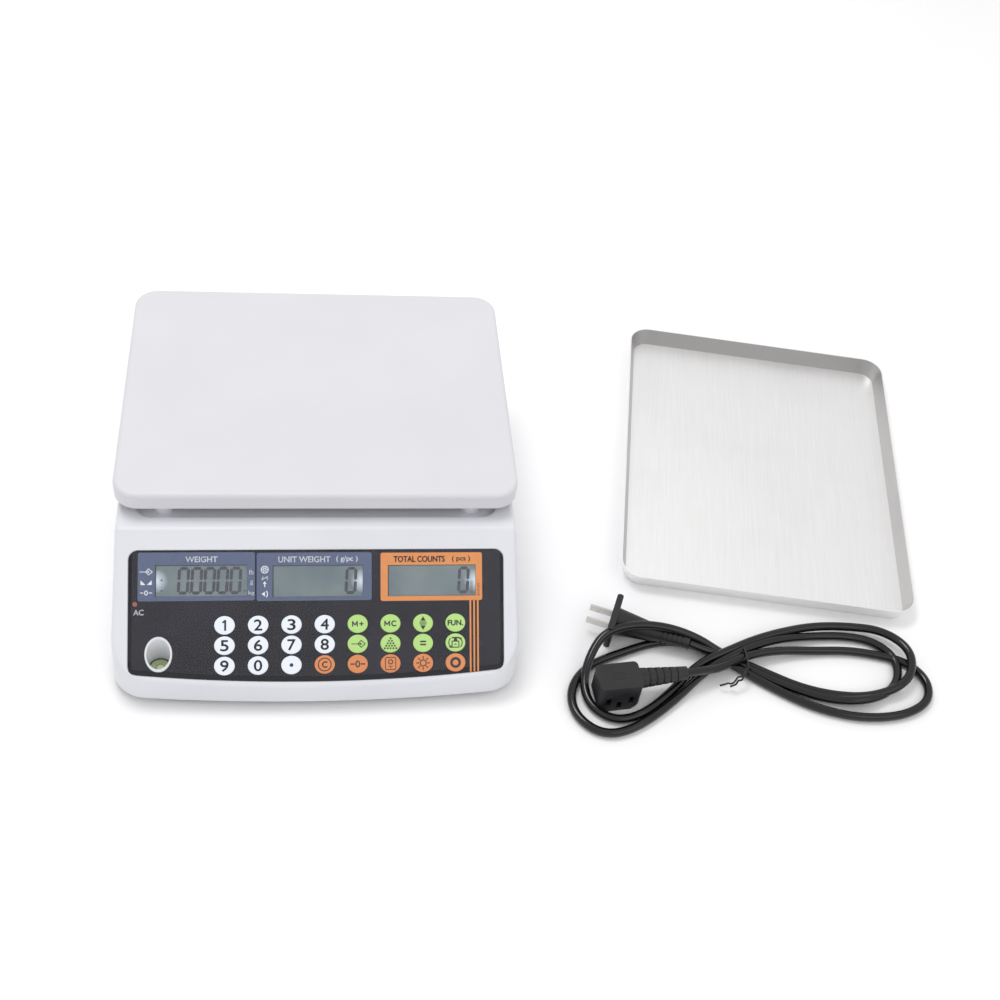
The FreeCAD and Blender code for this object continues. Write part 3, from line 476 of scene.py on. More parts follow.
def make_tie():
    """The wire tie: a loop pulled tight round the strands, its two ends twisted and bent forward."""
    low, high = TIE_LOW, TIE_HIGH
    half_wide, half_tall = (high.y - low.y) / 2 - 0.3 * MM, (high.z - low.z) / 2 - 0.4 * MM
    centre = Vector((TIE.x, TIE.y, (low.z + high.z) / 2 + 0.3 * MM))
    wire = 0.75 * MM
    flat = 0.62
    loop = []
    steps = 56
    for step in range(steps + 1):
        turn = 2 * math.pi * step / steps
        wide = math.copysign(abs(math.cos(turn)) ** flat, math.cos(turn)) * (half_wide - wire)
        tall = math.copysign(abs(math.sin(turn)) ** flat, math.sin(turn)) * (half_tall - wire)
        loop.append(centre + Vector((1.4 * MM * math.sin(turn), wide, tall)))
    verts, faces = tube(loop, wire)
    for phase, last in ((0.0, (-21.5, -20.5, 5.0)), (math.pi, (-13.0, -19.0, 3.2))):
        first, end = Vector((0.0, -10.6, 13.5)), Vector(last)
        strand = []
        for step in range(31):
            share = step / 30
            turn = phase + 2 * math.pi * 2.6 * min(share, 0.75)
            twist = Vector((0.0, math.cos(turn), math.sin(turn))) * 0.9
            sag = Vector((0, -4.0, 2.0)) * math.sin(math.pi * share)
            strand.append(Vector((TIE.x, TIE.y, 0)) + (first.lerp(end, share) + twist + sag) * MM)
        more, sides = tube(strand, wire)
        faces += [tuple(i + len(verts) for i in side) for side in sides]
        verts += more
    ring = piece("twist_tie_wire", verts, faces, BLACK, "mains_lead")
    outward(ring)
    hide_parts("twist_tie")
    return ring


def make_lead():
    """The black lead: one NURBS curve with a round section, held by its tie."""
    points = lead_route()
    data = bpy.data.curves.new("mains_cord", "CURVE")
    data.dimensions = "3D"
    spline = data.splines.new("NURBS")
    spline.points.add(len(points) - 1)
    for point, place in zip(spline.points, points):
        point.co = (*place, 1.0)
    spline.order_u = 3
    spline.use_endpoint_u = True
    spline.resolution_u = 10
    data.bevel_depth = LEAD / 2
    data.bevel_resolution = 6
    data.use_fill_caps = True
    sheath = Finish("cord_sheath_skin")
    sheath.colour(tone(14, 14, 17), tone(8, 8, 10), 60)
    sheath.roughness(0.1, 0.18, 120)
    sheath.bump(sheath.noise(500, 2), 0.15, 0.0001)
    sheath.plain(specular_ior_level=0.5)
    data.materials.append(sheath.material)
    cord = bpy.data.objects.new("mains_cord", data)
    bpy.context.scene.collection.objects.link(cord)
    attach(cord, "mains_lead")
    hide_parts("lead_hank")
    make_tie()


make_lead()


# ---------------------------------------------------------------- floor and light
def make_stage():
    """A plain pale floor and soft light from above and from the left."""
    size = 6.0
    mesh = bpy.data.meshes.new("floor")
    corners = [(-size, -size, 0), (size, -size, 0), (size, size, 0), (-size, size, 0)]
    mesh.from_pydata(corners, [], [(0, 1, 2, 3)])
    floor = bpy.data.objects.new("floor", mesh)
    sheet = Finish("floor_sheet")
    sheet.colour(tone(252, 252, 252), tone(250, 250, 251), 3)
    sheet.roughness(0.7, 0.8, 20)
    mesh.materials.append(sheet.material)
    floor.location.z = -0.0002
    bpy.context.scene.collection.objects.link(floor)
    world = bpy.data.worlds.new("studio")
    world.use_nodes = True
    back = world.node_tree.nodes["Background"]
    back.inputs["Color"].default_value = (1.0, 1.0, 1.0, 1)
    back.inputs["Strength"].default_value = 0.82
    bpy.context.scene.world = world
    for name, place, aim, width, height, power in (
            ("key_light", (-0.5, 0.5, 1.9), (0, 0, 0), 0.8, 0.6, 12),
            ("fill_light", (1.0, -1.2, 1.6), (0.1, 0, 0), 1.4, 1.0, 3.5)):
        data = bpy.data.lights.new(name, "AREA")
        data.shape = "RECTANGLE"
        data.size, data.size_y = width, height
        data.energy = power
        lamp = bpy.data.objects.new(name, data)
        lamp.location = place
        lamp.rotation_mode = "QUATERNION"
        lamp.rotation_quaternion = (Vector(aim) - Vector(place)).to_track_quat("-Z", "Y")
        bpy.context.scene.collection.objects.link(lamp)
    bpy.context.scene.view_settings.view_transform = "Standard"


make_stage()


# ---------------------------------------------------------------- flat printing
def polar(radius, angle, centre=(0, 0)):
    """A point at a radius and an angle from a centre."""
    return centre[0] + radius * math.cos(angle), centre[1] + radius * math.sin(angle)


class Print:
    """Flat inked shapes drawn in millimetres, x right and y up, and set down as one thin mesh."""

    def __init__(self):
        self.verts, self.faces = [], []

    def polygon(self, points):
        start = len(self.verts)
        self.verts += points
        self.faces.append(tuple(range(start, start + len(points))))
        return self

    def bar(self, start, end, width):
        (x0, y0), (x1, y1) = start, end
        length = math.hypot(x1 - x0, y1 - y0)
        sx, sy = -(y1 - y0) / length * width / 2, (x1 - x0) / length * width / 2
        return self.polygon([(x0 + sx, y0 + sy), (x0 - sx, y0 - sy), (x1 - sx, y1 - sy), (x1 + sx, y1 + sy)])

    def path(self, points, width, closed=False):
        """A band of even width along a line of points, mitred at its corners."""
        count = len(points)
        sides = []
        for i, (x, y) in enumerate(points):
            before = points[i - 1] if i or closed else points[i]
            after = points[(i + 1) % count] if i < count - 1 or closed else points[i]
            one, two = Vector((x - before[0], y - before[1])), Vector((after[0] - x, after[1] - y))
            one = one.normalized() if one.length else two.normalized()
            two = two.normalized() if two.length else one
            across = Vector((-(one + two).y, (one + two).x)).normalized()
            reach = width / 2 / max(0.35, across.dot(Vector((-one.y, one.x))))
            sides.append((Vector((x, y)) + across * reach, Vector((x, y)) - across * reach))
        for i in range(count if closed else count - 1):
            (a, b), (c, d) = sides[i], sides[(i + 1) % count]
            self.polygon([tuple(a), tuple(b), tuple(d), tuple(c)])
        return self

    def arc(self, centre, radius, width, start=0.0, end=360.0, squeeze=1.0, steps=40):
        """A ring, or part of one; squeeze flattens it in y."""
        whole = abs(end - start) >= 360
        count = steps if whole else steps + 1
        points = []
        for i in range(count):
            angle = math.radians(start + (end - start) * i / steps)
            points.append((centre[0] + radius * math.cos(angle),
                           centre[1] + radius * squeeze * math.sin(angle)))
        return self.path(points, width, closed=whole)

    def disc(self, centre, radius, squeeze=1.0, steps=24):
        return self.polygon([(centre[0] + radius * math.cos(2 * math.pi * i / steps),
                              centre[1] + radius * squeeze * math.sin(2 * math.pi * i / steps))
                             for i in range(steps)])

    def words(self, text, centre, width, height, bold=0.0):
        """Generic lettering, stretched to a width and a height; bold copies it a little to each side."""
        data = bpy.data.curves.new("words", "FONT")
        data.body = text
        data.resolution_u = 6
        source = bpy.data.objects.new("words", data)
        bpy.context.scene.collection.objects.link(source)
        bpy.context.view_layer.update()
        shape = bpy.data.meshes.new_from_object(source.evaluated_get(bpy.context.evaluated_depsgraph_get()))
        points = [v.co for v in shape.vertices]
        (left, right), (foot, head) = extent(points, 0), extent(points, 1)
        low, high = Vector((left, foot)), Vector((right, head))
        span, mid = high - low, (low + high) / 2
        copies = [(0, 0)] + ([(bold, 0), (-bold, 0), (0, bold), (0, -bold)] if bold else [])
        for aside, up in copies:
            start = len(self.verts)
            self.verts += [(centre[0] + aside + (p.x - mid.x) / span.x * width,
                            centre[1] + up + (p.y - mid.y) / span.y * height) for p in points]
            self.faces += [tuple(start + i for i in f.vertices) for f in shape.polygons]
        bpy.data.objects.remove(source)
        bpy.data.curves.remove(data)
        bpy.data.meshes.remove(shape)
        return self

    def set_down(self, name, place, material, body, thick=0.03, slot=None):
        """Lay the shapes on a place whose local X and Y run right and up, as a skin with a thickness."""
        mesh = bpy.data.meshes.new(name)
        mesh.from_pydata([(x, y, 0) for x, y in self.verts], [], self.faces)
        mesh.validate()
        work = bmesh.new()
        work.from_mesh(mesh)
        bmesh.ops.remove_doubles(work, verts=work.verts, dist=0.002)
        for face in work.faces:
            if face.normal.z < 0:
                face.normal_flip()
        grown = bmesh.ops.extrude_face_region(work, geom=work.faces[:])
        raised = [g for g in grown["geom"] if isinstance(g, bmesh.types.BMVert)]
        bmesh.ops.translate(work, vec=(0, 0, thick), verts=raised)
        bmesh.ops.recalc_face_normals(work, faces=work.faces)
        work.to_mesh(mesh)
        work.free()
        mesh.transform(place)
        mesh.materials.append(material)
        made = bpy.data.objects.new(name, mesh)
        bpy.context.scene.collection.objects.link(made)
        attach(made, body)
        return made


def rounded_outline(width, height, corner, steps=6):
    """A rounded rectangle about the origin, counter-clockwise."""
    points = []
    for index, (sx, sy) in enumerate(((1, 1), (-1, 1), (-1, -1), (1, -1))):
        for step in range(steps + 1):
            angle = math.pi / 2 * (index + step / steps)
            points.append((sx * (width / 2 - corner) + corner * math.cos(angle),
                           sy * (height / 2 - corner) + corner * math.sin(angle)))
    return points


def frame_print(outer, hole):
    """A printed panel with a rectangular hole: outer and hole are (x, y, width, height)."""
    made = Print()
    ring = [(outer[0] + x, outer[1] + y) for x, y in rounded_outline(outer[2], outer[3], 1.6)]
    x0, x1 = hole[0] - hole[2] / 2, hole[0] + hole[2] / 2
    y0, y1 = hole[1] - hole[3] / 2, hole[1] + hole[3] / 2
    inner = [(min(max(x, x0), x1), min(max(y, y0), y1)) for x, y in ring]
    quarter = len(ring) // 4
    for index, (cx, cy) in enumerate(((x1, y1), (x0, y1), (x0, y0), (x1, y0))):
        for step in range(quarter):
            inner[index * quarter + step] = (cx, cy)
    for i in range(len(ring)):
        j = (i + 1) % len(ring)
        corners = [ring[i], ring[j], inner[j]] + ([inner[i]] if inner[i] != inner[j] else [])
        made.polygon(corners)
    return made


# ---------------------------------------------------------------- displays
def pane_boxes():
    """Each pane's box on the panel as (x, down, width, height)."""
    places = [panel.find(v.co) for v in NODES["display_windows"].data.vertices]
    boxes = []
    for low, high in ((-200, -42), (-42, 42), (42, 200)):
        mine = [p for p in places if low < p[0] < high]
        (x0, x1), (d0, d1) = extent(mine, 0), extent(mine, 1)
        boxes.append(((x0 + x1) / 2, (d0 + d1) / 2, x1 - x0, d1 - d0))
    return boxes


PANES = pane_boxes()
LCD_DEPTH = -0.56
SEGMENT_SLANT = 0.055
# The end of each display that carries a painted backlight glow: -1 left, 1 right.
PAINTED_GLOW_SIDES = (-1, 1, 1)


def segment(shapes, centre, start, end, width):
    """One bar of a digit, with pointed ends, leaned to the right."""
    (x0, y0), (x1, y1) = start, end
    length = math.hypot(x1 - x0, y1 - y0)
    ax, ay = (x1 - x0) / length, (y1 - y0) / length
    half, tip = width / 2, width * 0.42
    outline = [(x0 + ax * tip - ay * half, y0 + ay * tip + ax * half), (x0, y0),
               (x0 + ax * tip + ay * half, y0 + ay * tip - ax * half),
               (x1 - ax * tip + ay * half, y1 - ay * tip - ax * half), (x1, y1),
               (x1 - ax * tip - ay * half, y1 - ay * tip + ax * half)]
    shapes.polygon([(centre[0] + x + y * SEGMENT_SLANT, centre[1] + y) for x, y in outline])


def digit_zero(shapes, centre, width=6.4, height=17.6, bar=2.25):
    """The six outer bars of a seven-segment digit."""
    w, h, gap = width / 2, height / 2, 0.3
    runs = [((-w + gap, h), (w - gap, h)), ((-w + gap, -h), (w - gap, -h))]
    for side in (-w, w):
        runs += [((side, gap), (side, h - gap)), ((side, -h + gap), (side, -gap))]
    for start, end in runs:
        segment(shapes, centre, start, end, bar)


def lcd_face(index, painted_glow_side):
    """A display's face: a grey-green reflector with a painted backlight glow in its colour towards one end.
    """
    x, down, width, height = PANES[index]
    made = Finish("lcd_face_skin_%d" % index)
    cloud = made.spread(made.noise(26, 4), 0, 1, 0.38, 0.66)
    base = made.blend(cloud, tone(92, 110, 118), tone(122, 134, 134))
    # Painted backlight glow: the colour turns near-white close to one end of the face.
    spot = panel.at(x + painted_glow_side * width / 2, down, 0)
    away = made.node("ShaderNodeVectorMath", operation="DISTANCE")
    away.inputs[1].default_value = tuple(spot)
    made.link(made.coords.outputs["Object"], away.inputs[0])
    near = made.spread(away.outputs["Value"], 1, 0, 0.001, 0.009)
    made.link(made.blend(near, base, tone(226, 240, 252)), made.shader.inputs["Base Color"])
    made.roughness(0.3, 0.42, 90)
    made.bump(made.noise(4000, 1), 0.1, 0.00001)
    columns, rows = 26, 10
    verts = [panel.at(x + width * (i / columns - 0.5), down + height * (j / rows - 0.5), LCD_DEPTH)
             for j in range(rows + 1) for i in range(columns + 1)]
    piece("lcd_face_%d" % index, verts, faces_of_grid(columns, rows), made.material, "root")


def make_displays():
    """Faces, digits and pointers of the three displays, and a strip of painted shade along each face's
    edges.
    """
    ink = Finish("lcd_segment_ink")
    ink.colour(tone(30, 22, 46), tone(44, 32, 56), 70)
    ink.roughness(0.3, 0.4, 300)
    digits = [[19.8 + 9.2 * i for i in range(5)], [56.4], [55.6]]
    for index, (x, down, width, height) in enumerate(PANES):
        lcd_face(index, PAINTED_GLOW_SIDES[index])
        left = -width / 2
        shapes = Print()
        for place in digits[index]:
            digit_zero(shapes, (left + place, 0.1))
        if index == 0:
            point = ((23.6, 0), (24.9, 0), (24.9, 1.0), (23.6, 1.0))
            shapes.polygon([(left + a, -8.9 + b) for a, b in point])
            for level in (0.6, -7.0):
                tip = left + 3.2
                shapes.polygon([(tip, level), (tip + 1.9, level - 0.8), (tip + 1.9, level + 0.8)])
            shapes.polygon([(left + 64.0, -7.4), (left + 62.4, -6.7), (left + 62.4, -8.1)])
        if index == 2:
            for step in range(5):
                shapes.arc((left + 61.6, -1.4 - 1.9 * step), 0.75, 0.3, steps=12)
        shapes.set_down("lcd_digits_%d" % index, panel.frame_at(x, down, LCD_DEPTH), ink.material, "root",
                        0.03, "display_glass")
        # Painted shade: a dark strip down the left edge and along the top of each face, where the opening's
        # wall shades it.
        edge = Print()
        edge.bar((left + 0.35, -height / 2), (left + 0.35, height / 2), 0.6)
        edge.bar((left, height / 2 - 0.2), (-left, height / 2 - 0.2), 0.35)
        edge.set_down("lcd_edge_painted_shade_%d" % index, panel.frame_at(x, down, LCD_DEPTH + 0.04), INK_DARK, "root",
                      0.1, "display_glass")


make_displays()


# ---------------------------------------------------------------- printed overlay
PRINT_OUT = 0.0


def diamond_arrow(shapes, centre, scale=1.0, line=0.5):
    """The tare mark: an open diamond with an arrow running into it."""
    x, y = centre
    shapes.path([(x + a * scale, y + b * scale) for a, b in ((-0.4, 0), (1.6, 2.2), (4.2, 0), (1.6, -2.2))],
                line, closed=True)
    shapes.bar((x - 4.6 * scale, y), (x + 1.6 * scale, y), line)
    head = ((2.4, 0), (1.0, 0.9), (1.0, -0.9))
    shapes.polygon([(x + a * scale, y + b * scale) for a, b in head])


def zero_mark(shapes, centre, line=0.7, reach=4.2, oval=(1.3, 1.5)):
    """The zero mark: a small 0 between two dashes."""
    x, y = centre
    shapes.arc(centre, oval[0], line, squeeze=oval[1])
    for side in (-1, 1):
        shapes.bar((x + side * (oval[0] + 0.9), y), (x + side * reach, y), line)


def make_frames():
    """Two slate panels and an orange one round the displays, with their titles and marks."""
    frames = [(-87.2, 18.9, 82.4, 34.8, INK_SLATE), (-3.35, 19.4, 82.7, 34.8, INK_SLATE),
              (81.85, 20.0, 74.7, 35.2, INK_ORANGE)]
    for index, (x, down, width, height, ink) in enumerate(frames):
        hole = PANES[index]
        gap = (hole[0] - x, down - hole[1], hole[2] + 0.2, hole[3] + 0.2)
        shapes = frame_print((0, 0, width, height), gap)
        shapes.set_down("display_frame_%d" % index, panel.frame_at(x, down, PRINT_OUT), ink, "root", 0.04,
                        "overlay_film")
    white, brown = Print(), Print()
    white.words("WEIGHT", (-83.8, -6.5), 22.4, 4.0, 0.12)
    white.words("UNIT WEIGHT", (-10.6, -6.9), 37.3, 4.2, 0.12)
    white.words("( g/pc )", (20.1, -6.9), 15.3, 4.8, 0.0)
    brown.words("TOTAL COUNTS", (72.8, -7.1), 37.4, 4.2, 0.2)
    brown.words("( pcs )", (103.6, -7.2), 13.2, 4.6, 0.12)
    column = -122.5
    diamond_arrow(white, (column, -15.3))
    for side in (-1, 1):
        wedge = [(column + side * 3.9, -24.6), (column + side * 0.5, -24.6), (column + side * 3.9, -21.2)]
        white.polygon(wedge[::side])
    zero_mark(white, (column, -30.3), 0.6, 4.2, (1.0, 1.5))
    for text, down, wide in (("lb", 16.0, 3.2), ("g", 23.7, 2.2), ("kg", 31.1, 4.2)):
        white.words(text, (-48.4, -down), wide, 3.2, 0.06)
    column = -39.0
    white.arc((column, -14.2), 2.5, 0.6)
    white.arc((column, -14.2), 1.0, 0.5)
    for angle in range(0, 360, 60):
        turn = math.radians(angle)
        white.bar(polar(1.2, turn, (column, -14.2)), polar(2.3, turn, (column, -14.2)), 0.45)
    white.path([(column - 2.2, -21.6), (column + 1.6, -19.4), (column + 2.0, -21.6)], 0.45)
    white.path([(column + 2.2, -19.2), (column - 1.8, -21.4), (column - 1.2, -19.2)], 0.45)
    white.polygon([(column, -22.6), (column - 1.5, -24.4), (column + 1.5, -24.4)])
    white.bar((column, -24.2), (column, -26.8), 0.8)
    white.polygon([(column - 2.2, -31.8), (column + 0.2, -30.0), (column + 0.2, -33.6)])
    white.arc((column - 1.4, -31.8), 3.4, 0.7, -42, 42)
    white.words("AC", (-127.7, -44.2), 7.0, 3.8, 0.12)
    for step in range(3):
        brown.arc((116.6, -26.2 - 3.3 * step), 0.9, 0.35, 40, 320, steps=16)
        brown.bar((115.8, -27.4 - 3.3 * step), (117.4, -27.4 - 3.3 * step), 0.3)
    place = panel.frame_at(0, 0, PRINT_OUT + 0.04)
    white.set_down("panel_titles_white", place, INK_WHITE, "root", 0.03, "overlay_film")
    brown.set_down("panel_titles_dark", place, INK_BROWN, "root", 0.03, "overlay_film")


OVERLAY_POINTS = [panel.find(v.co) for v in NODES["keypad_overlay"].data.vertices]
OVERLAY_SIDE = max(p[0] for p in OVERLAY_POINTS)
OVERLAY_DEPTH = max(p[1] for p in OVERLAY_POINTS)
OVERLAY_BOW = 7.0
OVERLAY_RADIUS = (OVERLAY_SIDE ** 2 + OVERLAY_BOW ** 2) / (2 * OVERLAY_BOW)


def overlay_foot(x):
    """How far down the overlay reaches at x: its lower edge is a shallow arc."""
    return OVERLAY_DEPTH - (OVERLAY_RADIUS - math.sqrt(OVERLAY_RADIUS ** 2 - x ** 2))


def make_stripes():
    """Three orange lines that run from the orange frame down to the overlay's lower edge."""
    shapes = Print()
    for x in (110.4, 113.15, 115.9):
        shapes.bar((x, -37.4), (x, -overlay_foot(x) + 0.25), 1.25)
    shapes.set_down("orange_stripes", panel.frame_at(0, 0, PRINT_OUT), INK_ORANGE, "root", 0.04,
                    "overlay_film")


def make_border():
    """The darker, glossier printed margin round the sides and foot of the overlay."""
    shapes = Print()
    side = OVERLAY_SIDE - 0.4
    steps = 48
    for index in range(steps):
        x0, x1 = (side * (2 * (index + k) / steps - 1) for k in (0, 1))
        low0, low1 = (-overlay_foot(x) + 0.4 for x in (x0, x1))
        shapes.polygon([(x0, low0), (x1, low1), (x1, low1 + 3.1), (x0, low0 + 3.1)])
    for sign in (-1, 1):
        x = sign * (side - 1.3)
        shapes.bar((x, -overlay_foot(side) + 9), (x, -39), 2.2)
    ink = printed("ink_margin", (20, 20, 26), 0.85, 0.14)
    shapes.set_down("overlay_margin", panel.frame_at(0, 0, PRINT_OUT), ink, "root", 0.03, "overlay_film")


def make_protective_sheet():
    """A loose clear sheet over the whole overlay, gently rippled, with a few creases."""
    made = Finish("protective_sheet_skin")
    made.colour(tone(236, 238, 244), tone(222, 226, 234), 40)
    made.roughness(0.08, 0.2, 70)
    made.bump(made.noise(120, 3), 0.3, 0.0002)
    made.plain(alpha=0.03, specular_ior_level=0.5)
    side = OVERLAY_SIDE - 2.6
    columns, rows = 150, 56
    verts = []
    for row in range(rows + 1):
        for column in range(columns + 1):
            x = side * (2 * column / columns - 1)
            down = 0.8 + (overlay_foot(x) - 4.6) * row / rows
            swell = noise.noise(Vector((x * 0.05, down * 0.09, 0.0)))
            crease = abs(noise.noise(Vector((x * 0.028, down * 0.16, 4.0))))
            verts.append(panel.at(x, down, 0.95 + 0.3 * swell - 0.55 * max(0.0, 0.12 - crease)))
    piece("protective_sheet", verts, faces_of_grid(columns, rows), made.material, "root")


make_frames()
make_stripes()
make_border()
make_protective_sheet()


# ---------------------------------------------------------------- keys
def letter_m(shapes, centre, width, height, line=0.85):
    """A plain capital M."""
    x, y = centre
    wide, tall = width / 2 - line / 2, height / 2
    shapes.bar((x - wide, y - tall), (x - wide, y + tall), line)
    shapes.bar((x + wide, y - tall), (x + wide, y + tall), line)
    shapes.bar((x - wide, y + tall - 0.3), (x, y - tall * 0.45), line)
    shapes.bar((x + wide, y + tall - 0.3), (x, y - tall * 0.45), line)


def key_legend(name):
    """What is printed on a key, in millimetres about its middle."""
    shapes = Print()
    if name == "1":
        shapes.bar((0.5, -3.85), (0.5, 3.85), 1.45)
        shapes.bar((-1.5, 1.9), (0.6, 3.4), 1.2)
    elif name == "9":
        shapes.words("6", (0, 0), 5.6, 7.7, 0.2)
        shapes.verts = [(-x, -y) for x, y in shapes.verts]
    elif name.isdigit():
        shapes.words(name, (0, 0), 5.6, 7.7, 0.2)
    elif name == "point":
        shapes.disc((0, 0), 1.35)
    elif name == "memory_add":
        letter_m(shapes, (-2.0, 0), 4.2, 4.0)
        shapes.bar((1.1, 0), (4.3, 0), 0.8)
        shapes.bar((2.7, -1.6), (2.7, 1.6), 0.8)
    elif name == "memory_clear":
        letter_m(shapes, (-2.4, 0), 4.2, 4.0)
        shapes.words("C", (2.4, 0), 3.4, 4.0, 0.2)
    elif name == "function":
        shapes.words("FUN.", (0, 0), 11.2, 3.8, 0.2)
    elif name == "select":
        for side in (-1, 1):
            shapes.polygon([(0, side * 5.0), (-2.0 * side, side * 1.7), (2.0 * side, side * 1.7)])
        for level in (-1.0, -0.35, 0.35, 1.0):
            wide = 2.8 - abs(level) * 0.5
            shapes.bar((-wide, level), (wide, level), 0.35)
    elif name == "tare":
        diamond_arrow(shapes, (0.6, 0), 1.15, 0.6)
    elif name == "sample":
        for row in range(5):
            for column in range(row + 1):
                shapes.disc(((column - row / 2) * 2.1, 3.7 - row * 1.8), 0.72, steps=12)
    elif name == "equals":
        for level in (-1.1, 1.1):
            shapes.bar((-2.2, level), (2.2, level), 1.15)
    elif name == "check_weight":
        shapes.path([(-2.5, -3.4), (2.5, -3.4), (2.5, 1.0), (-2.5, 1.0)], 0.7, closed=True)
        shapes.bar((-2.7, 3.6), (2.7, 3.6), 1.1)
        shapes.polygon([(-1.6, 1.0), (1.6, 1.0), (0.9, 3.2), (-0.9, 3.2)])
        shapes.bar((-0.9, -1.2), (0.9, -1.2), 0.7)
        for side in (-1, 1):
            mid = 0 if side > 0 else 180
            shapes.arc((0, 0), 4.9, 0.7, mid - 42, mid + 42, steps=14)
            tip = math.radians(mid + 42)
            x, y = polar(4.9, tip)
            shapes.polygon([(x - side * 1.4, y + side * 0.6), (x - side * 0.3, y - side * 1.4),
                            (x + side * 1.2, y + side * 0.2)])
    elif name == "clear":
        shapes.arc((0, 0), 4.6, 0.75)
        shapes.words("C", (0, 0), 3.6, 4.4, 0.2)
    elif name == "zero":
        zero_mark(shapes, (0, 0), 0.95, 5.4, (1.3, 1.6))
    elif name == "print":
        shapes.path(rounded_outline(7.6, 8.8, 1.2, 4), 0.6, closed=True)
        shapes.arc((0, 1.2), 1.5, 0.7)
        shapes.bar((-1.6, -2.0), (1.6, -2.0), 0.5)
        shapes.bar((0, -2.6), (0, -3.4), 0.7)
    elif name == "backlight":
        shapes.arc((0, 0), 2.2, 0.8)
        for index in range(8):
            turn = math.pi / 4 * index
            shapes.bar(polar(3.1, turn), polar(5.0, turn), 0.8)
    elif name == "power":
        shapes.arc((0, 0), 3.05, 1.9)
    return shapes


def key_cap(name, paint):
    """A key cap with a rounded shoulder and, on the coloured keys, an embossed line near its rim."""
    node = NODES["key_" + name]
    spots = [panel.find(v.co) for v in node.data.vertices]
    (x0, x1), (d0, d1), (low, top) = (extent(spots, axis) for axis in range(3))
    x, wide = (x0 + x1) / 2, (x1 - x0) / 2
    down, tall = (d0 + d1) / 2, (d1 - d0) / 2
    profile = [(1.0, low), (1.0, top - 0.42), (0.988, top - 0.26), (0.962, top - 0.12), (0.925, top - 0.04),
               (0.89, top - 0.01)]
    if paint != "white":
        profile += [(0.87, top - 0.02), (0.855, top - 0.07), (0.835, top - 0.07), (0.82, top - 0.02)]
    profile += [(0.78, top), (0.4, top), (0.1, top)]
    steps = 64
    verts = []
    for share, out in profile:
        for step in range(steps):
            angle = 2 * math.pi * step / steps
            across, along = wide * share * math.cos(angle), tall * share * math.sin(angle)
            verts.append(panel.at(x + across, down - along, out))
    faces = faces_between_rings(len(profile), steps)
    faces.append(tuple(range((len(profile) - 1) * steps, len(profile) * steps)))
    faces.append(tuple(reversed(range(steps))))
    cap = piece("cap_" + name, verts, faces, KEY_FINISHES[paint], "key_" + name)
    outward(cap)
    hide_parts("key_" + name)
    key_legend(name).set_down("legend_" + name, panel.frame_at(x, down, top), INK_DARK, "key_" + name, 0.03,
                              "key_" + paint)


for paint, names in KEYS.items():
    for key in names:
        key_cap(key, paint)


# ---------------------------------------------------------------- level, connector and rear label
def resting(point, turn=0.0):
    """A place for flat shapes at a point: local X and Y level and turned about Z."""
    return Matrix.Translation(point) @ Matrix.Rotation(math.radians(turn), 4, "Z") @ Matrix.Scale(MM, 4)


def make_level():
    """Tinted liquid, edge ring, centring mark and bubble of the level."""
    low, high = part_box("bubble_level")
    top = Vector(((low.x + high.x) / 2, (low.y + high.y) / 2, high.z))
    lifted = top + Vector((0, 0, 0.06 * MM))
    liquid = Finish("level_liquid_skin")
    liquid.colour(tone(190, 204, 150), tone(176, 192, 134), 60)
    liquid.roughness(0.08, 0.15, 80)
    bubble = Finish("level_bubble_skin")
    bubble.colour(tone(226, 238, 178), tone(214, 230, 160), 90)
    bubble.roughness(0.05, 0.12, 80)
    radius = (high.x - low.x) / 2 / MM
    for name, shapes, spot, material, thick in (
            ("level_liquid", Print().disc((0, 0), radius - 0.9, steps=48), top, liquid.material, 0.05),
            ("level_ring", Print().arc((0, 0), radius - 0.5, 0.9, steps=48), top, INK_DARK, 0.3),
            ("level_mark", Print().arc((0, 0), 3.1, 0.35, steps=36), lifted, INK_DARK, 0.05),
            ("level_bubble", Print().disc((0.4, 0.3), 2.3, steps=30), lifted, bubble.material, 0.12)):
        shapes.set_down(name, resting(spot), material, "root", thick, "level_glass")


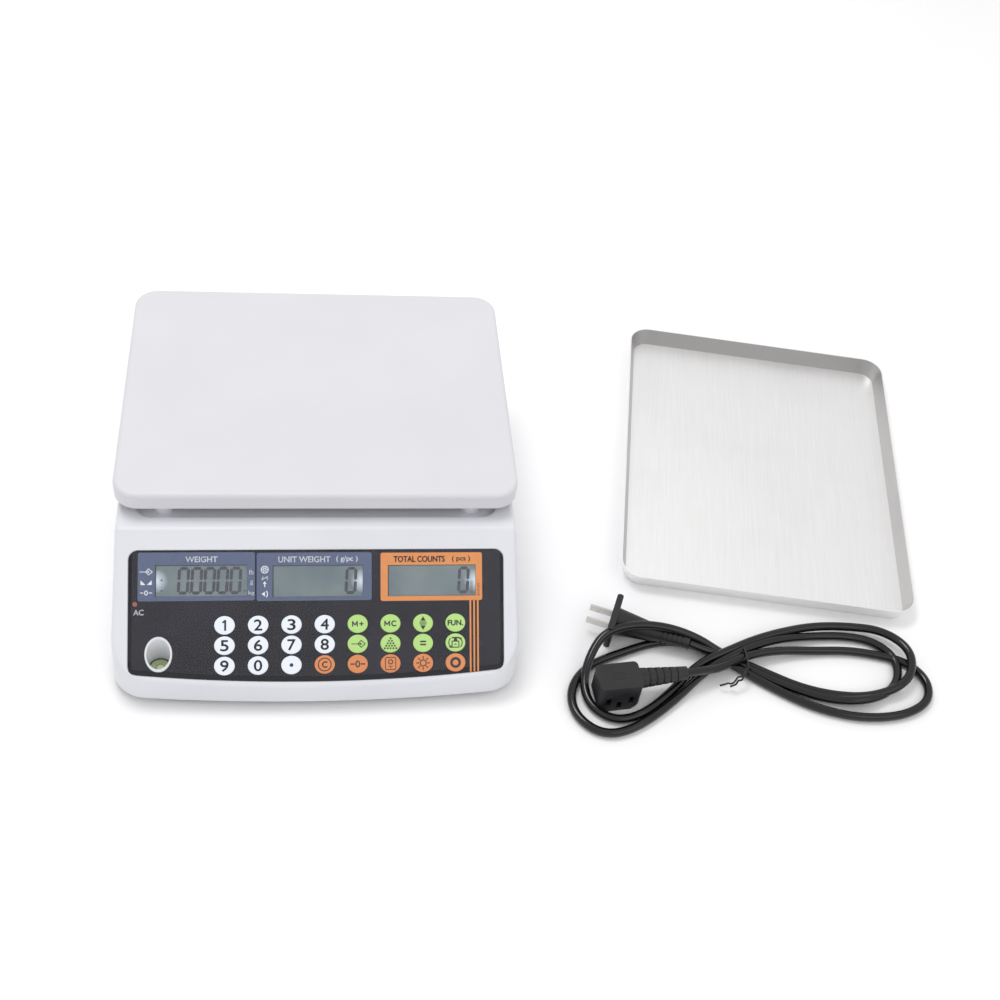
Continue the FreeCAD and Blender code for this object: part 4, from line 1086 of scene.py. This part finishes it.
def make_connector_marks():
    """Raised oval and dashes on the connector's top, and nickel leaves inside its slots."""
    seat = TIE + Vector(CONNECTOR_SEAT) * MM
    top = Vector((seat.x, seat.y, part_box("appliance_connector")[1].z))
    marks = Print()
    marks.arc((0, 0), 6.2, 0.5, squeeze=0.42, steps=36)
    for x in (-2.8, -0.9, 0.9, 2.8):
        marks.bar((x - 0.5, 0), (x + 0.5, 0), 0.7)
    marks.set_down("connector_marks", resting(top, CONNECTOR_TURN), BLACK, "mains_lead", 0.18,
                   "black_plastic")
    verts, faces = [], []
    around = resting(seat, CONNECTOR_TURN)
    for x, z in ((-8.8, 12.5), (8.8, 12.5), (0, 7.5)):
        start = len(verts)
        for dx, dy, dz in ((-1.1, -4.5, -2.6), (-1.1, 3, -2.6), (-1.1, 3, 2.6), (-1.1, -4.5, 2.6)):
            verts += [around @ Vector((x + dx, dy, z + dz)), around @ Vector((x + dx + 0.5, dy, z + dz))]
        faces += [tuple(start + i for i in f) for f in (
            (0, 2, 4, 6), (1, 7, 5, 3), (0, 1, 3, 2), (2, 3, 5, 4), (4, 5, 7, 6), (6, 7, 1, 0))]
    outward(piece("connector_leaves", verts, faces, NICKEL, "mains_lead", smooth=False))


def make_rear_label():
    """A silver rating label with generic lines on the rear wall, which leans in by the draft angle."""
    low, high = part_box("upper_housing")
    draft = math.radians(2.13)
    height = 62 * MM
    back = high.y - (height - low.z) * math.tan(draft)
    spot = Vector((STAND.x - 45 * MM, back + 0.02 * MM, height))
    out = Vector((0, math.cos(draft), math.sin(draft)))
    right = Vector((-1, 0, 0))
    place = Matrix.Translation(spot) @ Matrix((right, out.cross(right), out)).transposed().to_4x4()
    place = place @ Matrix.Scale(MM, 4)
    foil = Finish("label_foil_skin", (1, 0.1, 1))
    foil.colour(tone(214, 216, 220), tone(198, 200, 206), 500)
    foil.roughness(0.25, 0.36, 200)
    foil.plain(metallic=0.6)
    label = Print().polygon(rounded_outline(70, 34, 2.5))
    label.set_down("rating_label", place, foil.material, "root", 0.06, "steel_screws")
    words = Print()
    words.path(rounded_outline(66, 30, 1.6), 0.35, closed=True)
    words.words("COUNTING SCALE", (0, 9.5), 44, 4.2, 0.1)
    for text, up, wide in (("Max 30 kg   d = 1 g", 2.4, 40), ("AC 220 V  50 Hz", -3.8, 34),
                           ("No. 000000", -10.0, 24)):
        words.words(text, (0, up), wide, 3.0)
    words.set_down("rating_words", place @ Matrix.Translation((0, 0, 0.06)), INK_DARK, "root", 0.03,
                   "steel_screws")


make_level()
make_connector_marks()
make_rear_label()
